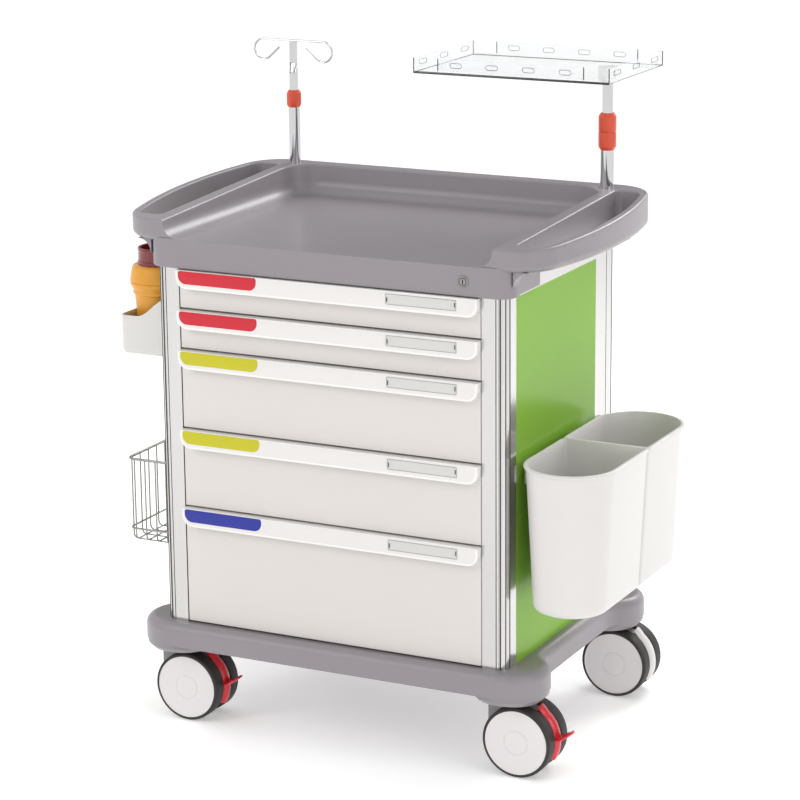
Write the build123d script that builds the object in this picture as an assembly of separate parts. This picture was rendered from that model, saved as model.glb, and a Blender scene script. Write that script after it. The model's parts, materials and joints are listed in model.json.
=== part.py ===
from build123d import *
import os
from math import radians, tan

# Emergency trolley on four twin-wheel casters: a cabinet of five drawers between
# corner posts, a moulded worktop with side handles, a height-adjustable infusion
# pole and monitor shelf, two waste bins, a sharps station and a wire basket.
# Working axes: X across the front, Y from the drawer fronts to the back, Z up from
# the floor. At the end every piece is shifted to the middle of the overall box.

# --- Driving dimensions, mm ---
cabinet_width = 658.0        # over the corner posts
cabinet_depth = 472.0        # drawer-front plane to the back of the rear posts
drawer_unit = 70.6           # height of one drawer unit
drawer_units = [3, 2, 2, 1, 1]   # bottom to top
base_bottom = 150.0          # underside of the base between the casters
base_thickness = 42.0        # base platform
wheel_diameter = 125.0

# Running and assembly gaps
past = 1.0                   # cutting shapes run this far past the faces they cut
running_gap = 0.05           # radial gap of pins and plugs that turn
slide_gap = 0.3              # drawer runner to its channel
drawer_gap = 1.6             # around each drawer front
seat_gap = 0.15              # around tubes and barrels seated in mouldings
swivel_gap = 1.0             # swivel head under its base boss
drawer_foot_gap = 2.0        # lowest drawer unit above the base

# Posts and panels
post_width = 43.75
front_post_depth = 40.7
rear_post_depth = 95.0
post_wall = 2.5
front_post_radius = 18.0
rear_post_radius = 25.0
post_groove = 1.6            # width and depth of the decorative flutes
seam_width = 3.0             # dark seam along each post's side face
panel_thickness = 3.0
top_rail_height = 25.0       # light strips between side panels and worktop
top_rail_thickness = 8.0

# Base platform
base_front = -25.0           # front edge of the base
base_overhang_back = 63.0    # base past the cabinet's back
base_waist = 23.0            # base past the cabinet's side between the corners
corner_radius = 68.0         # round corner over each caster
corner_inset_x = 11.0        # corner centre inside the cabinet's side
corner_drop = 15.0           # corner boss below the base underside
base_blend = 45.0            # concave blend from corner to waist
base_round = 16.0            # rounded top edge
boss_inset = 2.0             # corner boss inside the corner's outline

# Casters
wheel_width = 27.0
wheel_spacing = 53.0         # middle to middle of the twin wheels
tyre_round = 4.0
axle_inset = 5.0             # axle ends inside the wheels' outer faces
hub_inset = 1.0              # hub faces inside the tyre's
disc_radius = 57.5           # face disc inside the tyre
axle_radius = 6.0
caster_trail = 20.0
front_stem_y = 52.0
rear_stem_inset = 51.0       # rear stems in front of the base's back edge
stem_spread = 8.0            # stems inside the cabinet's side
stem_radius = 6.0
stem_length = 34.0
head_radius = 46.0
head_thickness = 7.0
head_round = 3.0
housing_width = 24.0
housing_radius = 57.0
band_thickness = 8.0         # brake pedal band, or plain cover at the rear
band_low = -30.0             # degrees from the axle's level to the band's ends
band_high = 62.0
band_side_gap = 0.5
pedal_length = 26.0          # tongue past the wheel's rim
pedal_width = 36.0
pedal_round = 12.0
pedal_low = 4.0              # tongue's underside above the axle
pedal_thickness = 7.0
pedal_overlap = 2.0          # tongue over its neck

# Worktop
skirt_drop = 20.6            # front skirt below the worktop slab
slab_thickness = 30.0
worktop_front = -10.0
worktop_back = 25.0          # past the cabinet's back
worktop_side = 12.0          # past the cabinet's side
handle_reach = 92.0          # outermost handle past the cabinet's side
handle_band = 14.0           # grip width seen from above
handle_bow = 870.0           # radius of the bowed grip
handle_corner = 75.0
handle_rise = 24.0           # underside of the grips above the slab's underside
wall_front = 32.0            # side wall above the floor at the front
wall_back = 55.0             # side wall above the floor at the back
wall_side = 22.0             # side wall thickness at its top
wall_rear = 23.0
well_taper = 7.0             # degrees the well's walls lean out
well_corner = 52.0
well_round = 27.0            # sweep from the floor up into the walls
gap_front = 38.0             # hand gap's front end behind the worktop front
gap_back = 42.0
skirt_depth = 28.0
wall_recess = 7.0            # side walls behind the skirt's side
gap_corner = 24.0            # round ends of the hand gaps
skirt_wrap = 135.0           # corner skirts run this far back
skirt_corner = 30.0
rim_round = 4.0              # rounded rim and skirt edge
lip_round = 1.0              # front edge of the sunken floor
gap_round = 3.0
grip_round = 13.0            # rounded underside of the grips
level_slack = 0.3            # how flat an edge lies to count as level

# Drawers
front_thickness = 18.0
drawer_depth = 425.0
drawer_travel = 360.0
front_round = 1.5            # upright edges of fronts and strips
sheet = 2.0                  # drawer box walls
box_above = 6.0              # drawer box above the unit's bottom
box_below = 10.0             # and below its top
side_clearance = 15.0        # drawer box to opening, each side
handle_height = 32.0
handle_depth = 14.0
handle_lip = 4.0
handle_round = 20.0
grip_height = 17.0
runner_height = 33.0
channel_web = 4.0
channel_lip = 2.0

# Lock
lock_radius = 9.5
plug_radius = 6.4
lock_length = 24.0
lock_proud = 2.0
lock_from_side = 72.0
lock_chamfer = 0.8
key_width = 1.8              # keyway
key_height = 8.0
key_depth = 8.0

# Poles
pole_inset_x = 19.0          # pole axis inside the cabinet's side
pole_y = 469.0
socket_radius = 10.5
iv_socket_top = 1040.0
iv_tube_radius = 8.0
iv_knob_radius = 13.5
iv_knob_height = 32.0
iv_knob_chamfer = 2.0
iv_knob_overlap = 3.0        # knob skirt over the socket's top
iv_tube_top = 1100.0
iv_tube_engaged = 165.0
hook_height = 1159.0
hook_reach = 80.0
hook_wire = 2.2
hook_curl = 17.0             # radius of the hook's bend
hook_tip = 30.6              # and of its tip
hook_tip_turn = 60.0         # degrees the tip opens past the curl
blade_width = 16.0
blade_thickness = 3.0
blade_round = 5.0
shelf_socket_top = 1032.0
shelf_tube_radius = 9.5
shelf_socket_radius = 12.0
collar_radius = 15.5
collar_height = 33.0
collar_chamfer = 1.5
shelf_height = 1145.0
shelf_tube_engaged = 150.0
boss_radius = 17.0
boss_height = 26.0
boss_round = 6.0

# Clear shelf
shelf_width = 362.0
shelf_depth = 242.0
shelf_sheet = 4.0
shelf_flange = 25.0
shelf_past_pole_x = 80.0
shelf_past_pole_y = 53.0
front_flange = 270.0
side_slot = (30.0, 8.0)      # length and height of the slots
front_slot = (22.0, 8.0)
side_pitch = 84.7            # between slots
front_pitch = 67.5

# Waste bins
bin_width = 154.0
bin_length = 220.0
bin_height = 250.0
bin_wall = 3.0
bin_taper = 13.0
bin_rim = 4.0
bin_rim_height = 6.0
bin_rim_z = 550.0
bin_front = -20.0
bin_stand_off = 17.0         # bin body off the cabinet's side
rail_height = 30.0
rail_thickness = 7.0
rail_drop = 16.0             # rail top below the bin rim
rail_front = 62.0            # the rail starts behind the front bin's round end
rail_foot = 16.0             # width of its stand-offs
hook_width = 60.0            # bin's tongue over the rail
hook_sheet = 2.5
hook_back = 70.0             # tongue in front of the line between the bins
hook_drop = 12.0
bin_pair_gap = 0.5           # each bin off the line between them
bin_lift = 120.0             # how far a bin lifts off the rail

# Left side: sharps station and wire basket
station_reach = 121.0
station_front = 66.0
station_length = 124.0
station_bottom = 648.0
station_low = 70.0           # rim height at the outer side
station_high = 106.0         # rim height at the cabinet
station_wall = 3.0
station_round = 10.0
station_shelf = 20.0         # rim stays high this far from the cabinet
station_slope = 80.0         # and is low from here on
container_radius = 46.0
container_foot = 39.0
container_bulge = 53.0
container_height = 152.0
container_wall = 2.0
container_shoulder = (0.68, 0.76, 0.85)   # bulge starts, is full and ends, of the height
neck_inset = 3.0             # neck inside the lid
container_off = 71.0         # container axis off the cabinet's side
container_lift = 32.0
lid_radius = 39.0
lid_height = 30.0
lid_wall = 3.0
lid_margin = 8.0             # mouth inside the lid's edge
lid_crescent = 0.6           # mouth's inner arc moved back, of the lid's radius
basket_reach = 119.0
basket_front = 70.0
basket_length = 260.0
basket_bottom = 300.0
basket_height = 156.0
basket_wall = 3.5
basket_gap = 1.0             # basket off the side panel
hanger_inset = 50.0          # hanger plates in from the basket's ends
hanger_width = 24.0
hanger_below = 40.0
hanger_above = 14.0

# --- Derived places ---
half_cabinet = cabinet_width / 2
half_opening = half_cabinet - post_width
base_top = base_bottom + base_thickness
drawer_bottom = base_top + drawer_foot_gap
cabinet_top = drawer_bottom + sum(drawer_units) * drawer_unit
slab_bottom = cabinet_top + skirt_drop
floor_z = slab_bottom + slab_thickness
base_back = cabinet_depth + base_overhang_back
rear_stem_y = base_back - rear_stem_inset
stem_x = half_cabinet - stem_spread
wheel_radius = wheel_diameter / 2
boss_bottom = base_bottom - corner_drop
worktop_rear = cabinet_depth + worktop_back
pole_x = half_cabinet - pole_inset_x

nodes = {}


def block(x0, x1, y0, y1, z0, z1):
    """Box between two corners."""
    size = (x1 - x0, y1 - y0, z1 - z0)
    return Pos((x0 + x1) / 2, (y0 + y1) / 2, (z0 + z1) / 2) * Box(*size)


def rod(x, y, z0, z1, radius):
    """Upright cylinder from z0 to z1."""
    return Pos(x, y, (z0 + z1) / 2) * Cylinder(radius, z1 - z0)


def pin(x, y0, y1, z, radius):
    """Cylinder along Y from y0 to y1."""
    return Pos(x, (y0 + y1) / 2, z) * Rot(90, 0, 0) * Cylinder(radius, y1 - y0)


def prism(sketch, z0, z1):
    """Plan sketch raised from z0 to z1."""
    return Pos(0, 0, z0) * extrude(sketch, z1 - z0)


def mirrored(shape):
    """The same shape on the other side of the cabinet."""
    return mirror(shape, about=Plane.YZ)


def pair(shape):
    """A shape and its mirror image as one group of two solids."""
    return Compound(children=[*shape.solids(), *mirrored(shape).solids()])


# --- Cabinet ---
def post_section(depth, radius, front):
    """Hollow post outline with one round outer corner and its flutes."""
    outline = Pos(half_cabinet - post_width / 2, depth / 2) * Rectangle(post_width, depth)
    corner = outline.vertices().sort_by(Axis.X)[-2:].sort_by(Axis.Y)[0 if front else -1]
    outline = fillet(corner, radius)
    hollow = Pos(half_cabinet - post_width / 2, depth / 2) * Rectangle(
        post_width - 2 * (post_wall + post_groove), depth - 2 * (post_wall + post_groove))
    inner_radius = max(radius - post_wall - post_groove, post_wall)
    corner = hollow.vertices().sort_by(Axis.X)[-2:].sort_by(Axis.Y)[0 if front else -1]
    return outline - fillet(corner, inner_radius)


def front_post():
    section = post_section(front_post_depth, front_post_radius, True)
    for step in (0, 1):
        x = half_cabinet - front_post_radius + step * 3 * post_groove
        section -= Pos(x, 0) * Rectangle(post_groove, 2 * post_groove)
    seam_y = front_post_radius - seam_width / 2
    section -= Pos(half_cabinet, seam_y) * Rectangle(2 * post_groove, seam_width)
    return prism(section, base_top, cabinet_top)


def rear_post():
    section = Pos(0, cabinet_depth - rear_post_depth) * post_section(
        rear_post_depth, rear_post_radius, False)
    section -= Pos(half_cabinet, cabinet_depth - rear_post_depth / 2) * Rectangle(
        2 * post_groove, seam_width)
    return prism(section, base_top, slab_bottom)


def side_panel():
    rear = cabinet_depth - rear_post_depth
    return block(half_cabinet - panel_thickness, half_cabinet, front_post_depth, rear,
                 base_top, slab_bottom - top_rail_height)


def top_rail():
    rear = cabinet_depth - rear_post_depth
    return block(half_cabinet - top_rail_thickness, half_cabinet, front_post_depth, rear,
                 slab_bottom - top_rail_height, slab_bottom)


def rear_panel():
    back = cabinet_depth - 2 * panel_thickness
    return block(-half_opening, half_opening, back - panel_thickness, back, base_top, slab_bottom)


def base_plan():
    """Rectangle with round corners over the casters and a waisted side."""
    corner_x = half_cabinet - corner_inset_x
    front, back = base_front + corner_radius, base_back - corner_radius
    middle = (base_front + base_back) / 2
    plan = Pos(0, middle) * Rectangle(2 * corner_x, base_back - base_front)
    plan += Pos(0, middle) * Rectangle(2 * (half_cabinet + base_waist), back - front)
    for x in (-corner_x, corner_x):
        for y in (front, back):
            plan += Pos(x, y) * Circle(corner_radius)
    waist = [v for v in plan.vertices()
             if abs(abs(v.X) - half_cabinet - base_waist) < 0.01 and front < v.Y < back]
    return fillet(waist, base_blend)


def base_platform():
    solid = prism(base_plan(), base_bottom, base_top)
    solid = fillet(solid.faces().sort_by(Axis.Z)[-1].outer_wire().edges(), base_round)
    corner_x = half_cabinet - corner_inset_x
    for side in (-1, 1):
        for y, stem_y in ((base_front + corner_radius, front_stem_y),
                          (base_back - corner_radius, rear_stem_y)):
            boss = rod(side * corner_x, y, boss_bottom, base_bottom + past, corner_radius - boss_inset)
            solid += chamfer(boss.edges().sort_by(Axis.Z)[0], corner_drop / 2)
            solid -= rod(side * stem_x, stem_y, boss_bottom - past,
                         boss_bottom + stem_length + past, stem_radius + running_gap)
    return solid


# --- Worktop ---
def bow_x(y, inset):
    """How far out the bowed grip reaches at y, moved in by inset."""
    middle = (worktop_front + worktop_rear) / 2
    centre = half_cabinet + handle_reach - handle_bow
    return centre + ((handle_bow - inset) ** 2 - (y - middle) ** 2) ** 0.5


def bow(y0, y1, inset, side):
    """Arc along the grip between two depths, side 1 right and -1 left."""
    middle = (y0 + y1) / 2
    return ThreePointArc((side * bow_x(y0, inset), y0), (side * bow_x(middle, inset), middle),
                         (side * bow_x(y1, inset), y1))


def handle_plan():
    """Bowed outline over both handles."""
    right = bow(worktop_front, worktop_rear, 0, 1)
    left = bow(worktop_rear, worktop_front, 0, -1)
    outline = make_face([right, Line(right @ 1, left @ 0), left, Line(left @ 1, right @ 0)])
    return fillet(outline.vertices(), handle_corner)


def hand_gap():
    """Plan of the right-hand gap between the side wall and the grip."""
    inner = half_cabinet + worktop_side - wall_recess
    front, back = worktop_front + gap_front, worktop_rear - gap_back
    grip = bow(front, back, handle_band, 1)
    outline = make_face([grip, Line(grip @ 1, (inner, back)), Line((inner, back), (inner, front)),
                         Line((inner, front), grip @ 0)])
    corners = outline.vertices().sort_by(Axis.X)
    outline = fillet(corners[-2:], gap_corner)
    return fillet(outline.vertices().sort_by(Axis.X)[:2], gap_corner / 2)


def worktop():
    """Moulding with front skirt, sloping side walls, hand gaps and a sunken floor."""
    side = half_cabinet + worktop_side
    middle = (worktop_front + worktop_rear) / 2
    length = worktop_rear - worktop_front
    plan = fillet((Pos(0, middle) * Rectangle(2 * side, length)).vertices(), skirt_corner)
    top = floor_z + wall_back
    body = prism(plan, cabinet_top, floor_z + past)
    wing = prism(handle_plan(), slab_bottom + handle_rise, top)
    body += fillet(wing.faces().sort_by(Axis.Z)[0].outer_wire().edges(), grip_round)
    # The underside steps up behind the front skirt and the corner skirts.
    body -= block(-side - past, side + past, worktop_front + skirt_wrap, worktop_rear + past,
                  cabinet_top - past, slab_bottom)
    body -= block(-half_cabinet, half_cabinet, worktop_front + skirt_depth, worktop_rear + past,
                  cabinet_top - past, slab_bottom)
    # Quarter-round sweep from each grip's front end down to the skirt.
    sweep = handle_rise
    under = slab_bottom + handle_rise
    filler = block(side - past, side + sweep, worktop_front + grip_round,
                   worktop_front + gap_front, under - sweep, under + past)
    filler -= pin(side + sweep, worktop_front, worktop_front + gap_front + past, under - sweep,
                  sweep)
    body += filler
    body += mirrored(filler)
    # The rim climbs from the front to the back.
    slope = Plane.YZ * make_face(Polyline(
        (worktop_front - past, floor_z + wall_front), (worktop_rear + past, floor_z + wall_back),
        (worktop_rear + past, top + past), (worktop_front - past, top + past),
        (worktop_front - past, floor_z + wall_front)))
    body -= extrude(slope, 2 * half_cabinet, both=True)
    # Sunken floor, open over the front lip.
    well_side = side - wall_recess - wall_side
    well_back = worktop_rear - wall_rear
    well_front = worktop_front - 2 * well_corner
    lean = (wall_back + 2 * past) * tan(radians(well_taper))
    floor = Pos(0, (well_front + well_back - lean) / 2) * Rectangle(
        2 * (well_side - lean), well_back - lean - well_front)
    floor = fillet(floor.vertices().sort_by(Axis.Y)[-2:], well_corner)
    well = Pos(0, 0, floor_z) * extrude(floor, wall_back + 2 * past, taper=-well_taper)
    body -= fillet(well.faces().sort_by(Axis.Z)[0].outer_wire().edges(), well_round)
    gap = prism(hand_gap(), cabinet_top - past, top + past)
    body -= gap
    body -= mirrored(gap)
    body = soften_worktop(body)
    for x, radius in ((-pole_x, socket_radius), (pole_x, shelf_socket_radius)):
        body -= rod(x, pole_y, slab_bottom - past, top + past, radius + seat_gap)
    lock_x, lock_z = half_cabinet - lock_from_side, (cabinet_top + floor_z) / 2
    body -= pin(lock_x, worktop_front - past, worktop_front + skirt_depth + past, lock_z,
                lock_radius + seat_gap)
    return body


def rim_face(body):
    """The sloping top face round the well."""
    tops = [face for face in body.faces()
            if face.normal_at().Z > 0.9 and face.center().Z > floor_z + wall_front / 2]
    return max(tops, key=lambda face: face.area)


def soften_worktop(body):
    """Rounds the floor's front lip, the skirt's lower edge, the rim and the hand gaps."""
    side = half_cabinet + worktop_side
    lip = [edge for edge in level_edges(body, floor_z)
           if abs(edge.center().Y - worktop_front) < level_slack]
    body = fillet(lip, lip_round)
    skirt = [edge for edge in level_edges(body, cabinet_top)
             if edge.center().Y < worktop_front + past
             or (edge.center().Y < worktop_front + skirt_corner
                 and abs(edge.center().X) > side - skirt_corner)]
    body = fillet(skirt, rim_round)
    body = fillet(rim_face(body).outer_wire().edges(), rim_round)
    gaps = [edge for wire in rim_face(body).inner_wires() for edge in wire.edges()]
    return fillet(gaps, gap_round)


def level_edges(body, height):
    """Edges that lie flat at one height."""
    return [edge for edge in body.edges() if edge.bounding_box().size.Z < level_slack
            and abs(edge.center().Z - height) < level_slack]


# --- Drawers ---
def drawer_front(bottom, top):
    half = half_opening - drawer_gap
    face = block(-half, half, 0, front_thickness, bottom + drawer_gap, top - drawer_gap)
    return fillet(face.edges().filter_by(Axis.Z).sort_by(Axis.Y)[:2], front_round)


def drawer_handle(top):
    """Full-width grip strip, hollow below for the fingers."""
    half = half_opening - drawer_gap
    upper, lower = top - drawer_gap, top - drawer_gap - handle_height
    outline = Pos(0, (upper + lower) / 2) * Rectangle(2 * half, handle_height)
    outline = fillet(outline.vertices().sort_by(Axis.Y)[:2], handle_round)
    strip = extrude(Plane.XZ * outline, handle_depth)
    front_edges = strip.faces().sort_by(Axis.Y)[0].outer_wire().edges()
    strip = fillet(front_edges, front_round)
    grip = half - handle_round
    strip -= block(-grip, grip, handle_lip - handle_depth, past, lower - past, lower + grip_height)
    return strip


def drawer_box(bottom, top):
    half = half_opening - side_clearance
    back = front_thickness + drawer_depth
    low, high = bottom + box_above, top - box_below
    tray = block(-half, half, front_thickness, back, low, high)
    tray -= block(sheet - half, half - sheet, front_thickness + sheet, back - sheet,
                  low + sheet, high + past)
    middle = (low + high) / 2
    reach = half_opening - channel_web - slide_gap
    runner = block(half, reach, front_thickness, back, middle - runner_height / 2,
                   middle + runner_height / 2)
    return tray + runner + mirrored(runner)


def drawer_channel(bottom, top):
    """Fixed C-shaped channel on the right-hand posts."""
    middle = (bottom + box_above + top - box_below) / 2
    inner = half_opening - side_clearance + slide_gap
    back = cabinet_depth - 4 * panel_thickness
    lip_low = runner_height / 2 + slide_gap
    lip_high = lip_low + channel_lip
    front = front_thickness + channel_web
    channel = block(half_opening - channel_web, half_opening, front, back,
                    middle - lip_high, middle + lip_high)
    for low in (middle - lip_high, middle + lip_low):
        channel += block(inner, half_opening, front, back, low, low + channel_lip)
    return channel


# --- Casters ---
def caster_housing(x, y):
    """Swivel head with its stem and the round web between the wheels."""
    centre = x + caster_trail
    head_top = boss_bottom - swivel_gap
    stem = rod(x, y, head_top - head_thickness, boss_bottom + stem_length, stem_radius)
    head = rod(x, y, head_top - head_thickness, head_top, head_radius)
    head = fillet(head.edges().sort_by(Axis.Z)[-1], head_round)
    half = housing_width / 2
    web = pin(centre, y - half, y + half, wheel_radius, housing_radius)
    web += block(x - head_radius + head_round, centre, y - half, y + half,
                 wheel_radius, head_top - head_thickness + past)
    web -= pin(centre, y - half - past, y + half + past, wheel_radius, axle_radius + seat_gap)
    return stem + head + web


def axle_reach():
    """Half the axle's length: it stops short of the wheels' outer faces."""
    return wheel_spacing / 2 + wheel_width / 2 - axle_inset


def caster_axle(x, y):
    return pin(x + caster_trail, y - axle_reach(), y + axle_reach(), wheel_radius, axle_radius)


def caster_wheel(x, y, side):
    """Tyre and hub of one wheel, side -1 towards the front and +1 towards the back."""
    centre, middle = x + caster_trail, y + side * wheel_spacing / 2
    half = wheel_width / 2
    tyre = pin(centre, middle - half, middle + half, wheel_radius, wheel_radius)
    tyre = fillet(tyre.edges().filter_by(GeomType.CIRCLE), tyre_round)
    tyre -= pin(centre, middle - half - past, middle + half + past, wheel_radius, disc_radius)
    hub = pin(centre, middle - half + hub_inset, middle + half - hub_inset, wheel_radius,
              disc_radius)
    reach = axle_reach() + seat_gap
    hub -= pin(centre, y - reach, y + reach, wheel_radius, axle_radius + running_gap)
    return Compound(children=[*tyre.solids(), *hub.solids()])


def band(x, y):
    """Curved band over the web, from below the axle's level to near its top."""
    inner = housing_radius + slide_gap
    ring = Circle(inner + band_thickness) - Circle(inner)
    reach = Vector(2 * wheel_diameter, 0)
    rays = [reach.rotate(Axis.Z, angle)
            for angle in (band_low, (band_low + band_high) / 2, band_high)]
    profile = ring & make_face(Polyline((0, 0), *rays, (0, 0)))
    half = housing_width / 2 - band_side_gap
    solid = extrude(Plane.XZ * profile, half, both=True)
    return Pos(x + caster_trail, y, wheel_radius) * solid


def brake_pedal(x, y):
    """Band with a narrow neck between the wheels and a wide foot tongue past them."""
    centre, half = x + caster_trail, housing_width / 2 - band_side_gap
    low = wheel_radius + pedal_low
    high = low + pedal_thickness
    start = centre + wheel_radius + pedal_overlap
    neck = block(centre + housing_radius + past, start + pedal_overlap, y - half, y + half,
                 low, high)
    tongue = block(start, centre + wheel_radius + pedal_length, y - pedal_width / 2,
                   y + pedal_width / 2, low, high)
    tongue = fillet(tongue.edges().filter_by(Axis.Z).sort_by(Axis.X)[-2:], pedal_round)
    return band(x, y) + neck + tongue


# --- Infusion pole ---
def tube(x, y, z0, z1, outer, inner):
    return rod(x, y, z0, z1, outer) - rod(x, y, z0 - past, z1 + past, inner)


def circles(shape, radius):
    """Circular edges of one radius."""
    return [edge for edge in shape.edges().filter_by(GeomType.CIRCLE)
            if abs(edge.radius - radius) < running_gap / 2]


def iv_socket():
    return tube(-pole_x, pole_y, slab_bottom, iv_socket_top, socket_radius,
                iv_tube_radius + running_gap)


def iv_knob():
    """Grip ring that turns on the top of the socket tube."""
    bottom = iv_socket_top - iv_knob_overlap
    ring = tube(-pole_x, pole_y, bottom, bottom + iv_knob_height, iv_knob_radius,
                iv_tube_radius + running_gap)
    ring -= rod(-pole_x, pole_y, bottom - past, iv_socket_top + running_gap,
                socket_radius + running_gap)
    return chamfer(circles(ring, iv_knob_radius), iv_knob_chamfer)


def iv_tube():
    bottom = iv_socket_top - iv_tube_engaged
    return rod(-pole_x, pole_y, bottom, iv_tube_top, iv_tube_radius)


def iv_hook():
    """Flat blade with a wire that curls into a hook at each end."""
    blade = block(-pole_x - blade_width / 2, -pole_x + blade_width / 2,
                  pole_y - blade_thickness / 2, pole_y + blade_thickness / 2,
                  iv_tube_top, hook_height)
    blade = fillet(blade.edges().filter_by(Axis.Y).sort_by(Axis.Z)[-2:], blade_round)
    # Half of the wire: straight, round the end, then up to the tip.
    straight = Line((0, hook_height), (hook_reach - hook_curl, hook_height))
    turn = JernArc(straight @ 1, (1, 0), hook_curl, -180)
    rise = JernArc(turn @ 1, turn % 1, hook_tip, -hook_tip_turn)
    path = Plane.XZ * Wire([straight, turn, rise])
    wire = sweep(Plane(origin=path @ 0, z_dir=path % 0) * Circle(hook_wire), path)
    right = Pos(-pole_x, pole_y, 0) * wire
    left = Pos(-pole_x, pole_y, 0) * mirror(wire, about=Plane.YZ)
    return blade + right + left


# --- Monitor shelf ---
def shelf_socket():
    return tube(pole_x, pole_y, slab_bottom, shelf_socket_top, shelf_socket_radius,
                shelf_tube_radius + running_gap)


def shelf_collar(level):
    """Clamp ring: level 0 is fixed on the socket, level 1 turns above it."""
    low = shelf_socket_top - collar_height if level == 0 else shelf_socket_top
    ring = tube(pole_x, pole_y, low, low + collar_height, collar_radius,
                shelf_socket_radius if level == 0 else shelf_tube_radius + running_gap)
    return chamfer(circles(ring, collar_radius), collar_chamfer)


def shelf_mast():
    bottom = shelf_socket_top - shelf_tube_engaged
    return rod(pole_x, pole_y, bottom, shelf_height - boss_height, shelf_tube_radius)


def shelf_boss():
    boss = rod(pole_x, pole_y, shelf_height - boss_height, shelf_height, boss_radius)
    return fillet(boss.edges().sort_by(Axis.Z)[0], boss_round)


def slot_row(count, pitch, size):
    """Row of rounded slots centred on zero, in a plane sketch."""
    row = Sketch()
    for index in range(count):
        row += Pos((index - (count - 1) / 2) * pitch, 0) * SlotOverall(*size)
    return row


def clear_shelf():
    """Acrylic floor with slotted flanges on all four sides."""
    x1 = pole_x + shelf_past_pole_x
    x0 = x1 - shelf_width
    y1 = pole_y + shelf_past_pole_y
    y0 = y1 - shelf_depth
    top = shelf_height + shelf_flange
    middle_x, middle_y = (x0 + x1) / 2, (y0 + y1) / 2
    middle_z = (shelf_height + shelf_sheet + top) / 2
    shelf = block(x0, x1, y0, y1, shelf_height, shelf_height + shelf_sheet)
    side_row = extrude(Plane.YZ * slot_row(3, side_pitch, side_slot), shelf_width, both=True)
    front_row = extrude(Plane.XZ * slot_row(4, front_pitch, front_slot), shelf_depth, both=True)
    sides = block(x0, x0 + shelf_sheet, y0, y1, shelf_height, top)
    sides += block(x1 - shelf_sheet, x1, y0, y1, shelf_height, top)
    sides -= Pos(middle_x, middle_y, middle_z) * side_row
    half = front_flange / 2
    ends = block(middle_x - half, middle_x + half, y0, y0 + shelf_sheet, shelf_height, top)
    ends += block(middle_x - half, middle_x + half, y1 - shelf_sheet, y1, shelf_height, top)
    ends -= Pos(middle_x, middle_y, middle_z) * front_row
    return shelf + sides + ends


# --- Waste bins ---
def bin_plan(inset, wall):
    """D-shaped plan, round towards the front, flat towards the other bin."""
    x0 = half_cabinet + bin_stand_off + inset + wall
    x1 = half_cabinet + bin_stand_off + bin_width - inset - wall
    back = bin_front + bin_length - wall
    radius = (x1 - x0) / 2
    centre_y = bin_front + inset + wall + radius
    plan = Pos((x0 + x1) / 2, (centre_y + back) / 2) * Rectangle(x1 - x0, back - centre_y)
    return plan + Pos((x0 + x1) / 2, centre_y) * Circle(radius)


def front_bin():
    """Tapered open bin with a rolled rim and a tongue over the rail."""
    bottom = bin_rim_z - bin_height
    outer = loft([Pos(0, 0, bottom) * bin_plan(bin_taper, 0), Pos(0, 0, bin_rim_z) * bin_plan(0, 0)])
    inner = loft([Pos(0, 0, bottom + bin_wall) * bin_plan(bin_taper, bin_wall),
                  Pos(0, 0, bin_rim_z + past) * bin_plan(0, bin_wall)])
    foot = outer.faces().sort_by(Axis.Z)[0].outer_wire().edges()
    body = fillet(foot, bin_wall) - inner
    rim = prism(bin_plan(0, -bin_rim) - bin_plan(0, bin_wall), bin_rim_z - bin_rim_height,
                bin_rim_z)
    # The rims stop at the line between the two bins.
    back = bin_front + bin_length
    body += rim - block(half_cabinet, half_cabinet + 2 * bin_width, back, back + bin_length,
                        bin_rim_z - bin_height, bin_rim_z + past)
    x0 = half_cabinet + bin_stand_off
    rail_top = bin_rim_z - rail_drop
    y0, y1 = hook_span()
    inside = rail_x()[0] - slide_gap - hook_sheet
    low, high = rail_top + slide_gap, rail_top + slide_gap + hook_sheet
    tongue = block(inside, x0 + bin_wall, y0, y1, low, high)
    tongue += block(inside, inside + hook_sheet, y0, y1, rail_top - hook_drop, high)
    return body + tongue


def hook_span():
    """Depths between which the front bin's tongue hooks over the rail."""
    end = bin_front + bin_length - hook_back
    return end - hook_width, end


def rail_x():
    """Inner and outer faces of the rail that carries the bins."""
    outer = half_cabinet + bin_stand_off - bin_rim - slide_gap
    return outer - rail_thickness, outer


def bin_rail():
    inner, outer = rail_x()
    top = bin_rim_z - rail_drop
    back = bin_front + 2 * bin_length
    rail = block(inner, outer, rail_front, back, top - rail_height, top)
    start, end = hook_span()
    for y in (end + rail_foot, 2 * bin_pair_line() - start + rail_foot):
        rail += block(half_cabinet, inner + past, y - rail_foot / 2, y + rail_foot / 2,
                      top - rail_height, top)
    return rail


def bin_pair_line():
    """Plane between the two bins."""
    return bin_front + bin_length + bin_pair_gap


def rear_bin():
    return mirror(front_bin(), about=Plane.XZ.offset(-bin_pair_line()))


# --- Sharps station and basket ---
def sharps_holder():
    """Open box fixed to the side panel, its rim sweeping up to the cabinet."""
    outer, inner = half_cabinet + station_reach, half_cabinet
    y1 = station_front + station_length
    top = station_bottom + station_high
    box = block(inner, outer, station_front, y1, station_bottom, top)
    box = fillet(box.edges().filter_by(Axis.Z).sort_by(Axis.X)[-2:], station_round)
    low, start = station_bottom + station_low, inner + station_shelf
    cut = Plane.XZ * make_face(Polyline(
        (start, top + past), (inner + station_slope, low), (outer + past, low),
        (outer + past, top + past), (start, top + past)))
    box -= extrude(cut, 2 * y1, both=True)
    w = station_wall
    hollow = block(inner + w, outer - w, station_front + w, y1 - w, station_bottom + w,
                   top + past)
    hollow = fillet(hollow.edges().filter_by(Axis.Z).sort_by(Axis.X)[-2:], station_round - w)
    return mirrored(box - hollow)


def container_axis():
    return half_cabinet + container_off, station_front + station_length / 2


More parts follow.
